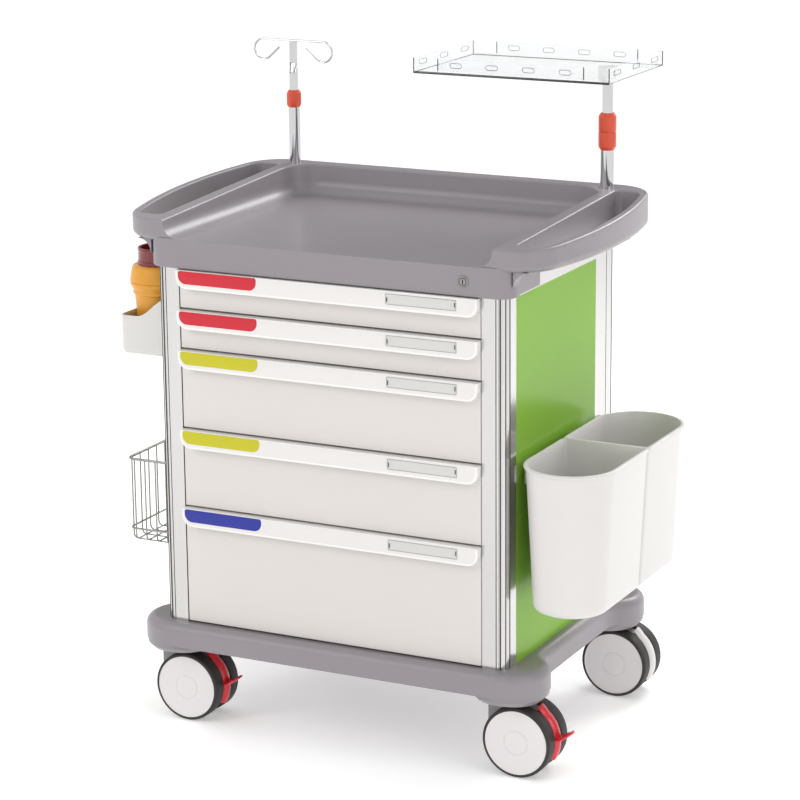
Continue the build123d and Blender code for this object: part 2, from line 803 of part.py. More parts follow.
def container_profile(wall):
    """Half section of the tapered container, moved in by a wall."""
    start, full, end = [container_height * share for share in container_shoulder]
    return [(0, wall), (container_foot - wall, wall), (container_radius - wall, start),
            (container_bulge - wall, full), (container_bulge - wall, end),
            (lid_radius - neck_inset - wall, container_height)]


def sharps_container():
    outer = container_profile(0)
    inner = container_profile(container_wall)
    top = container_height
    outer_face = make_face(Polyline(*outer, (0, top), (0, 0)))
    inner_face = make_face(Polyline(*inner, (inner[-1][0], top + past), (0, top + past),
                                    (0, container_wall)))
    body = revolve(Plane.XZ * outer_face, Axis.Z) - revolve(Plane.XZ * inner_face, Axis.Z)
    x, y = container_axis()
    return mirrored(Pos(x, y, station_bottom + station_wall) * body)


def sharps_lid():
    """Twist cap over the container's neck, with a crescent mouth."""
    x, y = container_axis()
    low = station_bottom + station_wall + container_height
    cap = rod(x, y, low, low + lid_height, lid_radius)
    cap = fillet(cap.edges().sort_by(Axis.Z)[-1], lid_wall)
    cap -= rod(x, y, low - past, low + lid_height - lid_wall, lid_radius - lid_wall)
    mouth = rod(x, y, low, low + lid_height + past, lid_radius - lid_margin)
    mouth -= rod(x, y + lid_radius * lid_crescent, low - past, low + lid_height + 2 * past,
                 lid_radius)
    return mirrored(cap - mouth)


def wire_basket():
    """Outer shape of the wire basket, open at the top."""
    inner, outer = half_cabinet + basket_gap, half_cabinet + basket_reach
    y1 = basket_front + basket_length
    top = basket_bottom + basket_height
    w = basket_wall
    box = block(inner, outer, basket_front, y1, basket_bottom, top)
    return mirrored(box - block(inner + w, outer - w, basket_front + w, y1 - w,
                                basket_bottom + w, top + past))


def basket_hanger():
    """Two plates that carry the basket's back rim on the side panel."""
    top = basket_bottom + basket_height
    hooks = []
    for y in (basket_front + hanger_inset, basket_front + basket_length - hanger_inset):
        plate = block(half_cabinet, half_cabinet + basket_gap, y - hanger_width / 2,
                      y + hanger_width / 2, top - hanger_below, top + hanger_above)
        hooks.extend(mirrored(plate).solids())
    return Compound(children=hooks)


# --- Assembly ---
def build():
    nodes["base_platform"] = base_platform()
    nodes["front_posts"] = pair(front_post())
    nodes["rear_posts"] = pair(rear_post())
    nodes["side_panel_right"] = side_panel()
    nodes["side_panel_left"] = mirrored(side_panel())
    nodes["top_rails"] = pair(top_rail())
    nodes["rear_panel"] = rear_panel()
    nodes["worktop"] = worktop()

    lock_x, lock_z = half_cabinet - lock_from_side, (cabinet_top + floor_z) / 2
    front = worktop_front - lock_proud
    barrel = pin(lock_x, front, front + lock_length, lock_z, lock_radius)
    barrel = chamfer(barrel.edges().sort_by(Axis.Y)[0], lock_chamfer)
    nodes["lock_barrel"] = barrel - pin(lock_x, front - past, front + lock_length + past, lock_z,
                                        plug_radius + running_gap)
    plug = pin(lock_x, front, front + lock_length, lock_z, plug_radius)
    nodes["lock_plug"] = plug - block(lock_x - key_width / 2, lock_x + key_width / 2,
                                      front - past, front + key_depth,
                                      lock_z - key_height / 2, lock_z + key_height / 2)

    channels = []
    top = cabinet_top
    for number, units in enumerate(reversed(drawer_units), start=1):
        bottom = top - units * drawer_unit
        nodes[f"drawer_{number}_front"] = drawer_front(bottom, top)
        nodes[f"drawer_{number}_handle"] = drawer_handle(top)
        nodes[f"drawer_{number}_box"] = drawer_box(bottom, top)
        channel = drawer_channel(bottom, top)
        channels.extend([*channel.solids(), *mirrored(channel).solids()])
        top = bottom
    nodes["drawer_channels"] = Compound(children=channels)

    for place, x, y in (("front_left", -stem_x, front_stem_y), ("front_right", stem_x, front_stem_y),
                        ("rear_left", -stem_x, rear_stem_y), ("rear_right", stem_x, rear_stem_y)):
        name = f"caster_{place}"
        housing = [*caster_housing(x, y).solids(), *caster_axle(x, y).solids()]
        nodes[f"{name}_housing"] = Compound(children=housing)
        nodes[f"{name}_outer_wheel"] = caster_wheel(x, y, -1)
        nodes[f"{name}_inner_wheel"] = caster_wheel(x, y, 1)
        if place.startswith("front"):
            nodes[f"{name}_brake_pedal"] = brake_pedal(x, y)
        else:
            nodes[f"{name}_cover"] = band(x, y)

    nodes["iv_socket"] = iv_socket()
    nodes["iv_knob"] = iv_knob()
    nodes["iv_tube"] = iv_tube()
    nodes["iv_hook"] = iv_hook()
    nodes["shelf_socket"] = shelf_socket()
    nodes["shelf_fixed_collar"] = shelf_collar(0)
    nodes["shelf_turning_collar"] = shelf_collar(1)
    nodes["shelf_mast"] = shelf_mast()
    nodes["shelf_boss"] = shelf_boss()
    nodes["clear_shelf"] = clear_shelf()
    nodes["bin_rail"] = bin_rail()
    nodes["waste_bin_front"] = front_bin()
    nodes["waste_bin_rear"] = rear_bin()
    nodes["sharps_holder"] = sharps_holder()
    nodes["sharps_container"] = sharps_container()
    nodes["sharps_lid"] = sharps_lid()
    nodes["wire_basket"] = wire_basket()
    nodes["basket_hanger"] = basket_hanger()


build()
box = Compound(children=[solid for shape in nodes.values() for solid in shape.solids()]).bounding_box()
origin = Vector((box.min.X + box.max.X) / 2, (box.min.Y + box.max.Y) / 2, box.min.Z)
os.makedirs("parts", exist_ok=True)
for name, shape in nodes.items():
    solids = [Pos(-origin.X, -origin.Y, -origin.Z) * solid for solid in shape.solids()]
    export_step(solids[0] if len(solids) == 1 else Compound(children=solids), f"parts/{name}.step")
print("nodes", len(nodes), "origin", origin, "size", box.size)
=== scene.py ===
"""Looks of an emergency trolley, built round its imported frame.

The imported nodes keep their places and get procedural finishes. Wheels, pedals, bins, basket,
sharps station and infusion hook are replaced by finer surfaces worked out with numpy. All
lengths are metres in the frame's axes: X across the drawer fronts, Y from the fronts to the
back and Z up from the floor.
"""
import json
import logging
from collections.abc import Sequence
from dataclasses import dataclass
from enum import Enum
from math import pi, radians, tau

import bpy
import numpy as np
from mathutils import Matrix, Vector


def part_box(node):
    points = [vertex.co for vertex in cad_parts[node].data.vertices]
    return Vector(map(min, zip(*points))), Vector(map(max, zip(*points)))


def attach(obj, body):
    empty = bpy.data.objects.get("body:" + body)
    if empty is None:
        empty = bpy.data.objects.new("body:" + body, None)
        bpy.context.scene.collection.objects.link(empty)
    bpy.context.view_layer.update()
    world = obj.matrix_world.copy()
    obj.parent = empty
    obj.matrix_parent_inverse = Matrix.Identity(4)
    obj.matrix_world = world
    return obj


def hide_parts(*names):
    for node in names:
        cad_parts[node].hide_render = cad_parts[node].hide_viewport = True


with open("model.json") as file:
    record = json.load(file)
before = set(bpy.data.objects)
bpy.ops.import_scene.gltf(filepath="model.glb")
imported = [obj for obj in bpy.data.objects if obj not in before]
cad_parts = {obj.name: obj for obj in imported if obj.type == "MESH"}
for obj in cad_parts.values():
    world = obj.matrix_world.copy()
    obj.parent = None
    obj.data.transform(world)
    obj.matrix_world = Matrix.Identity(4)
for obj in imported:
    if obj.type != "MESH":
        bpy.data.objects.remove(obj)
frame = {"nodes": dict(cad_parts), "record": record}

Array = np.ndarray
Point = tuple[float, float, float]
log = logging.getLogger("trolley")
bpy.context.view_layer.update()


# --- Shapes ---
@dataclass
class Skin:
    """Closed surface whose faces point outwards.

    Args:
        points: Corner places, one row each.
        faces: Corner numbers of each face.
    """

    points: Array
    faces: list[list[int]]


def loft(rings: Array, wrap: bool = False) -> Skin:
    """Closed surface over a stack of rings.

    The face at (row, column) joins a ring's point to the next point round and to the same two
    points on the next ring. An end is closed by a fan to its ring's mean point. The faces are
    turned round where the surface's signed volume, a sixth of the sum of a . (b x c) over its
    triangles, is below zero.

    Args:
        rings: Places, as (ring, point round it, xyz).
        wrap: Join the last ring to the first, in place of closing both ends.

    Returns:
        The closed surface.
    """
    rows, columns, _ = rings.shape
    index = np.arange(rows * columns).reshape(rows, columns)
    beside = np.roll(index, -1, axis=1)
    stack = np.stack([index, beside, np.roll(beside, -1, axis=0), np.roll(index, -1, axis=0)], -1)
    quads = stack[: rows if wrap else rows - 1].reshape(-1, 4)
    points = rings.reshape(-1, 3)
    fans = np.empty((0, 3), int)
    if not wrap:
        hub = np.full(columns, rows * columns)
        fans = np.concatenate([np.column_stack([beside[0], index[0], hub]),
                               np.column_stack([index[-1], beside[-1], hub + 1])])
        points = np.concatenate([points, rings[[0, -1]].mean(axis=1)])
    corners = np.concatenate([quads[:, :3], quads[:, [0, 2, 3]], fans])
    first, second, third = (points[corners[:, place]] for place in range(3))
    if np.sum(first * np.cross(second, third)) < 0:
        quads, fans = quads[:, ::-1], fans[:, ::-1]
    return Skin(points, quads.tolist() + fans.tolist())


def turned(local: Array, axis: str, centre: Point = (0.0, 0.0, 0.0)) -> Array:
    """Local places laid along an axis.

    Args:
        local: Places as (across, across, along).
        axis: The axis that the third value runs along, x, y or z.
        centre: Where local zero goes.

    Returns:
        Places as (x, y, z).
    """
    order = {"x": [2, 0, 1], "y": [0, 2, 1], "z": [0, 1, 2]}[axis]
    return local[..., order] + np.array(centre)


def lathe(profile: Array, centre: Point, axis: str = "z", steps: int = 96,
          wrap: bool = False, lobes: int = 0, depth: float = 0.0) -> Skin:
    """Surface of revolution, lobed if asked.

    A point is (radius cos a, radius sin a, height), and its radius shrinks by depth times half
    of 1 - cos(lobes a).

    Args:
        profile: Radius and height of each ring.
        centre: Where the profile's height of zero goes on the axis.
        axis: The axis turned round.
        steps: Points round the axis.
        wrap: The profile is a closed loop.
        lobes: Number of lobes round the axis.
        depth: Share of the radius between a lobe's top and its foot.

    Returns:
        The closed surface.
    """
    angle = np.linspace(0, tau, steps, endpoint=False)
    shrink = 1 - depth * (1 - np.cos(lobes * angle)) / 2
    radius = profile[:, :1] * shrink
    height = np.broadcast_to(profile[:, 1:], radius.shape)
    local = np.stack([radius * np.cos(angle), radius * np.sin(angle), height], -1)
    return loft(turned(local, axis, centre), wrap)


def sweep(path: Array, section: Array, up: Point = (0.0, 0.0, 1.0), wrap: bool = False) -> Skin:
    """A section carried along a path.

    At each point of the path, side is tangent x up and top is side x tangent, and a section
    point (a, b) goes to path + a side + b top.

    Args:
        path: Places along the path.
        section: Points of the section, the same everywhere or one set for each place.
        up: A direction that the path never runs along.
        wrap: The path is a closed loop.

    Returns:
        The closed surface.
    """
    if wrap:
        tangent = np.roll(path, -1, axis=0) - np.roll(path, 1, axis=0)
    else:
        tangent = np.gradient(path, axis=0)
    tangent /= np.linalg.norm(tangent, axis=1, keepdims=True)
    side = np.cross(tangent, up)
    side /= np.linalg.norm(side, axis=1, keepdims=True)
    top = np.cross(side, tangent)
    section = np.broadcast_to(section, (len(path), *section.shape[-2:]))
    rings = path[:, None] + section[..., :1] * side[:, None] + section[..., 1:] * top[:, None]
    return loft(rings, wrap)


def circle(radius: float, sides: int = 12) -> Array:
    """Points (radius cos a, radius sin a) of a circle."""
    angle = np.linspace(0, tau, sides, endpoint=False)
    return radius * np.column_stack([np.cos(angle), np.sin(angle)])


def squircle(width: Array, height: Array, power: float = 0.45, sides: int = 32) -> Array:
    """Rounded boxes between an ellipse and a rectangle.

    A point is half the width times cos a and half the height times sin a, each raised to a
    power with its sign kept: power 1 is an ellipse and a small power nearly a rectangle.

    Args:
        width: Full width of each section.
        height: Full height of each section.
        power: How round the corners are.
        sides: Points round each section.

    Returns:
        Sections as (section, point, 2).
    """
    angle = np.linspace(0, tau, sides, endpoint=False) + pi / sides
    across = np.sign(np.cos(angle)) * np.abs(np.cos(angle)) ** power
    rise = np.sign(np.sin(angle)) * np.abs(np.sin(angle)) ** power
    return np.stack([np.outer(width, across), np.outer(height, rise)], -1) / 2


def rounded(width: float, height: float, radii: float | Sequence[float], steps: int = 8) -> Array:
    """Outline of a rectangle about zero with a quarter circle at each corner.

    Args:
        width: Size along the first axis.
        height: Size along the second axis.
        radii: One radius, or one for each corner, from the top right anticlockwise.
        steps: Points on each corner.

    Returns:
        Outline points, anticlockwise.
    """
    turn = np.linspace(0, pi / 2, steps) + np.arange(4)[:, None] * pi / 2
    signs = np.array([[1, 1], [-1, 1], [-1, -1], [1, -1]])
    radius = np.broadcast_to(radii, 4)[:, None]
    across = signs[:, :1] * (width / 2 - radius) + radius * np.cos(turn)
    rise = signs[:, 1:] * (height / 2 - radius) + radius * np.sin(turn)
    return np.stack([across, rise], -1).reshape(-1, 2)


def slab(outline: Array, low: float, high: float, edge: float, axis: str = "z",
         centre: Point = (0.0, 0.0, 0.0), steps: int = 4) -> Skin:
    """Plate with rounded edges.

    Near each face the outline moves in along its normals by edge (1 - sin a), while it rises by
    edge (1 - cos a), as a goes from 0 to a quarter turn.

    Args:
        outline: Anticlockwise outline of the plate.
        low: Lower face along the axis.
        high: Upper face along the axis.
        edge: Radius of the edges.
        axis: The axis across the plate.
        centre: Where local zero goes.
        steps: Rings on each edge.

    Returns:
        The closed surface.
    """
    along = np.roll(outline, -1, axis=0) - np.roll(outline, 1, axis=0)
    along /= np.linalg.norm(along, axis=1, keepdims=True)
    normal = np.column_stack([along[:, 1], -along[:, 0]])
    bend = np.linspace(0, pi / 2, steps)
    inset = edge * (1 - np.sin(bend))
    rise = edge * (1 - np.cos(bend))
    inset = np.concatenate([inset, inset[::-1]])[:, None, None]
    height = np.concatenate([low + rise, (high - rise)[::-1]])[:, None, None]
    flat = outline - normal * inset
    local = np.concatenate([flat, np.broadcast_to(height, (*flat.shape[:2], 1))], axis=-1)
    return loft(turned(local, axis, centre))


def smooth(value: Array, start: float, end: float) -> Array:
    """Ease from 0 at start to 1 at end: t t (3 - 2 t) with t clipped between 0 and 1."""
    share = np.clip((value - start) / (end - start), 0, 1)
    return share * share * (3 - 2 * share)


def arc(centre: tuple[float, float], radius: float, start: float, end: float,
        steps: int = 24) -> Array:
    """Points centre + radius (cos a, sin a) from one angle to another, in degrees."""
    angle = np.radians(np.linspace(start, end, steps))
    return np.array(centre) + radius * np.column_stack([np.cos(angle), np.sin(angle)])


def raised(flat: Array, height: float | Array) -> Array:
    """Plan points (x, y) with a height added."""
    return np.column_stack([flat, np.broadcast_to(height, len(flat))])


# --- Finishes ---
class Slot(Enum):
    """Material slots of the trolley's record."""

    GREY_MOULDING = "grey_moulding"
    ALUMINIUM = "aluminium"
    GREEN_PANEL = "green_panel"
    WHITE_PANEL = "white_panel"
    DRAWER_WHITE = "drawer_white"
    HANDLE_WHITE = "handle_white"
    DRAWER_TRAY = "drawer_tray"
    CHROME = "chrome"
    ORANGE_KNOB = "orange_knob"
    CLEAR_ACRYLIC = "clear_acrylic"
    BIN_GREY = "bin_grey"
    CONTAINER_YELLOW = "container_yellow"
    LID_RED = "lid_red"
    TYRE_BLACK = "tyre_black"
    CASTER_GREY = "caster_grey"
    PEDAL_RED = "pedal_red"
    DISC_WHITE = "disc_white"


@dataclass(frozen=True)
class Finish:
    """A surface: colour that drifts in soft patches, grain in its gloss and a fine relief.

    Args:
        name: Name of the material.
        color: Screen colour, each part from 0 to 255.
        roughness: Least and most roughness over the grain.
        drift: Share by which the colour wanders either way.
        patches: Colour patches in a metre.
        grain: Grains in a metre.
        relief: Depth of the grain in metres.
        stretch: How much finer the grain is along each axis.
        metallic: 1 for bare metal.
        coat: Weight of a clear gloss coat.
        clear: Weight of light passing through.
        bend: Index of refraction.
        glow: Weight of light scattered below the surface.
        sheen: Share of the usual mirror strength.
        lit: Strength of its own light.
    """

    name: str
    color: tuple[int, int, int]
    roughness: tuple[float, float] = (0.35, 0.45)
    drift: float = 0.03
    patches: float = 9.0
    grain: float = 900.0
    relief: float = 0.00002
    stretch: Point = (1.0, 1.0, 1.0)
    metallic: float = 0.0
    coat: float = 0.0
    clear: float = 0.0
    bend: float = 1.5
    glow: float = 0.0
    sheen: float = 0.5
    lit: float = 0.0

    def shade(self, share: float) -> tuple[float, float, float, float]:
        """The colour as linear light, times a share and kept within 0 to 1."""
        value = np.array(self.color) / 255
        low, high = value / 12.92, ((value + 0.055) / 1.055) ** 2.4
        linear = np.clip(np.where(value < 0.04045, low, high) * share, 0, 1)
        return (*(float(part) for part in linear), 1.0)

    def material(self) -> bpy.types.Material:
        """The finish as a node material, made once.

        Returns:
            The material, which reads the Object coordinates of what wears it.
        """
        made = bpy.data.materials.get(self.name)
        if made:
            return made
        made = bpy.data.materials.new(self.name)
        made.use_nodes = True
        nodes, links = made.node_tree.nodes, made.node_tree.links
        shader = nodes["Principled BSDF"]
        shader.inputs["Metallic"].default_value = self.metallic
        shader.inputs["Coat Weight"].default_value = self.coat
        shader.inputs["Coat Roughness"].default_value = 0.06
        shader.inputs["Transmission Weight"].default_value = self.clear
        shader.inputs["IOR"].default_value = self.bend
        shader.inputs["Subsurface Weight"].default_value = self.glow
        shader.inputs["Subsurface Scale"].default_value = 0.01
        shader.inputs["Specular IOR Level"].default_value = self.sheen
        shader.inputs["Emission Color"].default_value = (1.0, 1.0, 1.0, 1.0)
        shader.inputs["Emission Strength"].default_value = self.lit
        place = nodes.new("ShaderNodeTexCoord")
        mapping = nodes.new("ShaderNodeMapping")
        mapping.inputs["Scale"].default_value = self.stretch
        links.new(place.outputs["Object"], mapping.inputs["Vector"])
        patch = nodes.new("ShaderNodeTexNoise")
        patch.inputs["Scale"].default_value = self.patches
        patch.inputs["Detail"].default_value = 3.0
        links.new(place.outputs["Object"], patch.inputs["Vector"])
        tint = nodes.new("ShaderNodeMix")
        tint.data_type = "RGBA"
        tint.inputs["A"].default_value = self.shade(1 - self.drift)
        tint.inputs["B"].default_value = self.shade(1 + self.drift)
        links.new(patch.outputs["Fac"], tint.inputs["Factor"])
        links.new(tint.outputs["Result"], shader.inputs["Base Color"])
        grain = nodes.new("ShaderNodeTexNoise")
        grain.inputs["Scale"].default_value = self.grain
        grain.inputs["Detail"].default_value = 2.0
        links.new(mapping.outputs["Vector"], grain.inputs["Vector"])
        gloss = nodes.new("ShaderNodeMapRange")
        gloss.inputs["To Min"].default_value = self.roughness[0]
        gloss.inputs["To Max"].default_value = self.roughness[1]
        links.new(grain.outputs["Fac"], gloss.inputs["Value"])
        links.new(gloss.outputs["Result"], shader.inputs["Roughness"])
        bump = nodes.new("ShaderNodeBump")
        bump.inputs["Distance"].default_value = self.relief
        links.new(grain.outputs["Fac"], bump.inputs["Height"])
        links.new(bump.outputs["Normal"], shader.inputs["Normal"])
        return made


FINISHES: dict[Slot, Finish] = {
    Slot.GREY_MOULDING: Finish("grey_moulded_abs", (142, 136, 141), (0.3, 0.46), 0.03, 6.0,
                               1400.0, 0.0001, coat=0.08),
    Slot.ALUMINIUM: Finish("satin_anodised_aluminium", (204, 202, 201), (0.12, 0.22), 0.02, 4.0,
                           700.0, 0.000006, (1.0, 1.0, 0.01), metallic=0.92),
    Slot.GREEN_PANEL: Finish("green_gloss_sheet", (130, 178, 56), (0.18, 0.26), 0.035, 3.0,
                             500.0, 0.000006, sheen=0.14),
    Slot.WHITE_PANEL: Finish("white_gloss_sheet", (224, 222, 218), (0.25, 0.35)),
    Slot.DRAWER_WHITE: Finish("drawer_front_white", (216, 211, 207), (0.3, 0.42), 0.012, 5.0,
                              1100.0, 0.00002, coat=0.1),
    Slot.HANDLE_WHITE: Finish("grip_strip_white", (238, 236, 234), (0.22, 0.32), 0.01,
                              coat=0.25),
    Slot.DRAWER_TRAY: Finish("tray_moulding", (196, 196, 196), (0.45, 0.6), relief=0.00006),
    Slot.CHROME: Finish("polished_chrome", (206, 206, 208), (0.03, 0.07), 0.01, 6.0, 500.0,
                        0.000002, (1.0, 1.0, 0.05), metallic=1.0),
    Slot.ORANGE_KNOB: Finish("orange_clamp_plastic", (214, 74, 42), (0.3, 0.42), 0.04,
                             relief=0.00004, coat=0.2),
    Slot.CLEAR_ACRYLIC: Finish("clear_acrylic", (250, 252, 253), (0.0, 0.03), 0.005, 3.0,
                               60.0, 0.000001, clear=1.0, bend=1.49),
    Slot.BIN_GREY: Finish("bin_light_grey", (217, 214, 212), (0.28, 0.4), 0.012, 5.0, 1000.0,
                          0.00003, coat=0.1),
    Slot.CONTAINER_YELLOW: Finish("translucent_orange_yellow", (226, 158, 50), (0.3, 0.42), 0.06,
                                  14.0, glow=0.25),
    Slot.LID_RED: Finish("dark_red_cap", (120, 28, 36), (0.22, 0.32), 0.05, coat=0.3),
    Slot.TYRE_BLACK: Finish("black_rubber", (44, 41, 39), (0.5, 0.7), 0.08, 20.0, 1500.0,
                            0.00008),
    Slot.CASTER_GREY: Finish("caster_nylon", (150, 147, 148), (0.4, 0.55), 0.04,
                             relief=0.00006),
    Slot.PEDAL_RED: Finish("red_pedal_nylon", (214, 34, 46), (0.22, 0.34), 0.05, coat=0.3),
    Slot.DISC_WHITE: Finish("wheel_disc_nylon", (225, 220, 221), (0.3, 0.42), 0.015, 8.0),
}
TAB_RED = Finish("tab_red", (202, 44, 58), (0.3, 0.4), 0.03, sheen=0.3)
TAB_YELLOW = Finish("tab_yellow_green", (196, 190, 40), (0.3, 0.4), 0.03, sheen=0.3)
TAB_BLUE = Finish("tab_blue", (48, 56, 152), (0.3, 0.4), 0.03, sheen=0.3)
# Slightly greyer than the grip strip, so that the strip's whiter border shows as a painted
# highlight.
STRIP_FACE_INSIDE_HIGHLIGHT = Finish("strip_face_inside_painted_highlight", (226, 223, 221), (0.28, 0.38), 0.01, coat=0.1)
STEEL_WIRE = Finish("steel_wire", (148, 147, 146), (0.2, 0.3), 0.04, 40.0, metallic=0.9)
SATIN_NICKEL = Finish("satin_nickel", (150, 148, 147), (0.25, 0.4), 0.03, 30.0, metallic=0.9)
# Near-black colour painted on the clear shelf's edges as painted shade; the sheet itself is clear.
SHELF_EDGE_SHADE = Finish("painted_acrylic_edge_shade", (44, 46, 46), (0.1, 0.2), 0.05, 12.0)
LABEL_PLATE = Finish("label_card", (208, 207, 204), (0.5, 0.6), 0.01)
# Dark finish of the real black brackets, clips and lock ring, also used for the painted shade
# strips on the posts.
DARK_PARTS_AND_PAINTED_SHADE = Finish("dark_parts_and_painted_shade", (58, 56, 56), (0.5, 0.6), 0.05)
FLOOR_PAINT = Finish("studio_floor", (249, 249, 248), (0.6, 0.75), 0.004, 1.2, 60.0, 0.00002,
                     lit=0.3)


def piece(name: str, skins: Sequence[Skin], slot: Slot, body: str, hides: Sequence[str] = (),
          finish: Finish | None = None, crease: float = 34.0) -> bpy.types.Object:
    """Makes one named piece and rides it on a body.

    Args:
        name: Name of the object.
        skins: Closed surfaces that make it up.
        slot: The record's slot that it takes its finish from.
        body: The body that it moves with.
        hides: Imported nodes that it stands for.
        finish: A finish of its own, in place of the slot's.
        crease: Edges sharper than this many degrees stay sharp.

    Returns:
        The new object, which sits at the origin.
    """
    starts = np.cumsum([0, *(len(skin.points) for skin in skins)])
    faces = [[corner + int(start) for corner in face]
             for skin, start in zip(skins, starts) for face in skin.faces]
    mesh = bpy.data.meshes.new(name)
    mesh.from_pydata(np.concatenate([skin.points for skin in skins]).tolist(), [], faces)
    mesh.shade_smooth()
    mesh.set_sharp_from_angle(angle=radians(crease))
    mesh.materials.append((finish or FINISHES[slot]).material())
    made = bpy.data.objects.new(name, mesh)
    bpy.context.scene.collection.objects.link(made)
    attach(made, body)
    if hides:
        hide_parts(*hides)
    log.info("%s: %d faces on %s", name, len(faces), body)
    return made


def box(node: str) -> tuple[Array, Array]:
    """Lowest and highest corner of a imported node."""
    low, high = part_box(node)
    return np.array(low), np.array(high)


# --- Studio ---
@dataclass
class Studio:
    """Pale floor, soft lights and the camera.

    Args:
        azimuth: Camera's turn round the trolley, in degrees.
        elevation: Camera's height over the horizon, in degrees.
        roll: Camera's tilt, in degrees.
        distance: Camera to target.
        target: The point looked at.
        lens: Focal length in millimetres on a 36 mm sensor.
        floor_radius: Radius of the round floor.
        floor_depth: Thickness of the floor.
        floor_drop: Gap between the floor and the wheels.
        floor_edge: Radius of the floor's rounded edge.
    """

    azimuth: float = 26.5735
    elevation: float = 14.6381
    roll: float = -0.5439
    distance: float = 5.04228
    target: Point = (0.00025, -0.035, 0.57676)
    lens: float = 129.69
    floor_radius: float = 40.0
    floor_depth: float = 0.02
    floor_drop: float = 0.0002
    floor_edge: float = 0.002

    def camera(self) -> None:
        """Camera that looks at the target from its azimuth and elevation."""
        turn, lift = radians(self.azimuth), radians(self.elevation)
        back = Vector((np.sin(turn) * np.cos(lift), -np.cos(turn) * np.cos(lift), np.sin(lift)))
        right = Vector((np.cos(turn), np.sin(turn), 0.0))
        right = Matrix.Rotation(radians(self.roll), 3, back) @ right
        up = back.cross(right)
        data = bpy.data.cameras.new("camera")
        data.lens = self.lens
        data.sensor_width = 36.0
        data.clip_end = 200.0
        made = bpy.data.objects.new("camera", data)
        place = Vector(self.target) + back * self.distance
        rows = [(*axes, place[row]) for row, axes in enumerate(zip(right, up, back))]
        made.matrix_world = Matrix((*rows, (0.0, 0.0, 0.0, 1.0)))
        bpy.context.scene.collection.objects.link(made)
        bpy.context.scene.camera = made

    def floor(self) -> None:
        """Round floor: rings of points (radius cos a, radius sin a, 0) with a thin edge."""
        outline = circle(self.floor_radius, 128)
        skin = slab(outline, -self.floor_depth, -self.floor_drop, self.floor_edge)
        mesh = bpy.data.meshes.new("floor")
        mesh.from_pydata(skin.points.tolist(), [], skin.faces)
        mesh.materials.append(FLOOR_PAINT.material())
        made = bpy.data.objects.new("floor", mesh)
        bpy.context.scene.collection.objects.link(made)

    def light(self, name: str, place: Point, size: float, power: float) -> None:
        """Square soft light aimed at the trolley's middle.

        Args:
            name: Name of the light.
            place: Where it hangs.
            size: Length of its sides.
            power: Power in watts.
        """
        data = bpy.data.lights.new(name, "AREA")
        data.size = size
        data.energy = power
        made = bpy.data.objects.new(name, data)
        made.location = place
        aim = Vector(self.target) - Vector(place)
        made.rotation_euler = aim.to_track_quat("-Z", "Y").to_euler()
        bpy.context.scene.collection.objects.link(made)

    def world(self) -> None:
        """Bright surroundings with a few darker upright bands for the metal to mirror."""
        world = bpy.data.worlds.new("studio_room")
        bpy.context.scene.world = world
        world.use_nodes = True
        nodes, links = world.node_tree.nodes, world.node_tree.links
        place = nodes.new("ShaderNodeTexCoord")
        sweep_round = nodes.new("ShaderNodeTexGradient")
        sweep_round.gradient_type = "RADIAL"
        links.new(place.outputs["Generated"], sweep_round.inputs["Vector"])
        bands = nodes.new("ShaderNodeValToRGB")
        ramp = bands.color_ramp
        stops = ((0.0, 1.1), (0.08, 1.1), (0.1, 0.12), (0.14, 0.12), (0.16, 1.15), (0.3, 1.15),
                 (0.32, 0.2), (0.36, 0.2), (0.38, 1.15), (0.52, 1.15), (0.54, 0.12),
                 (0.59, 0.12), (0.61, 1.15), (0.76, 1.15), (0.78, 0.15), (0.83, 0.15),
                 (0.85, 1.1), (1.0, 1.1))
        ramp.elements[0].position, ramp.elements[1].position = stops[0][0], stops[-1][0]
        ramp.elements[0].color = (*(stops[0][1],) * 3, 1.0)
        ramp.elements[1].color = (*(stops[-1][1],) * 3, 1.0)
        for position, value in stops[1:-1]:
            ramp.elements.new(position).color = (value, value, value, 1.0)
        links.new(sweep_round.outputs["Fac"], bands.inputs["Fac"])
        room = nodes["Background"]
        room.inputs["Strength"].default_value = 0.92
        links.new(bands.outputs["Color"], room.inputs["Color"])
        seen = nodes.new("ShaderNodeBackground")
        path = nodes.new("ShaderNodeLightPath")
        mix = nodes.new("ShaderNodeMixShader")
        links.new(path.outputs["Is Camera Ray"], mix.inputs["Fac"])
        links.new(room.outputs["Background"], mix.inputs[1])
        links.new(seen.outputs["Background"], mix.inputs[2])
        seen.inputs["Color"].default_value = (1.0, 1.0, 1.0, 1.0)
        links.new(mix.outputs["Shader"], nodes["World Output"].inputs["Surface"])

    def build(self) -> None:
        """Camera, floor, lights and surroundings."""
        bpy.context.scene.view_settings.view_transform = "Standard"
        self.camera()
        self.floor()
        self.world()
        self.light("key", (-2.6, -3.6, 3.2), 1.8, 45.0)
        self.light("fill", (3.6, -1.2, 1.8), 1.4, 14.0)
        self.light("rear", (0.8, 3.0, 3.0), 1.6, 70.0)


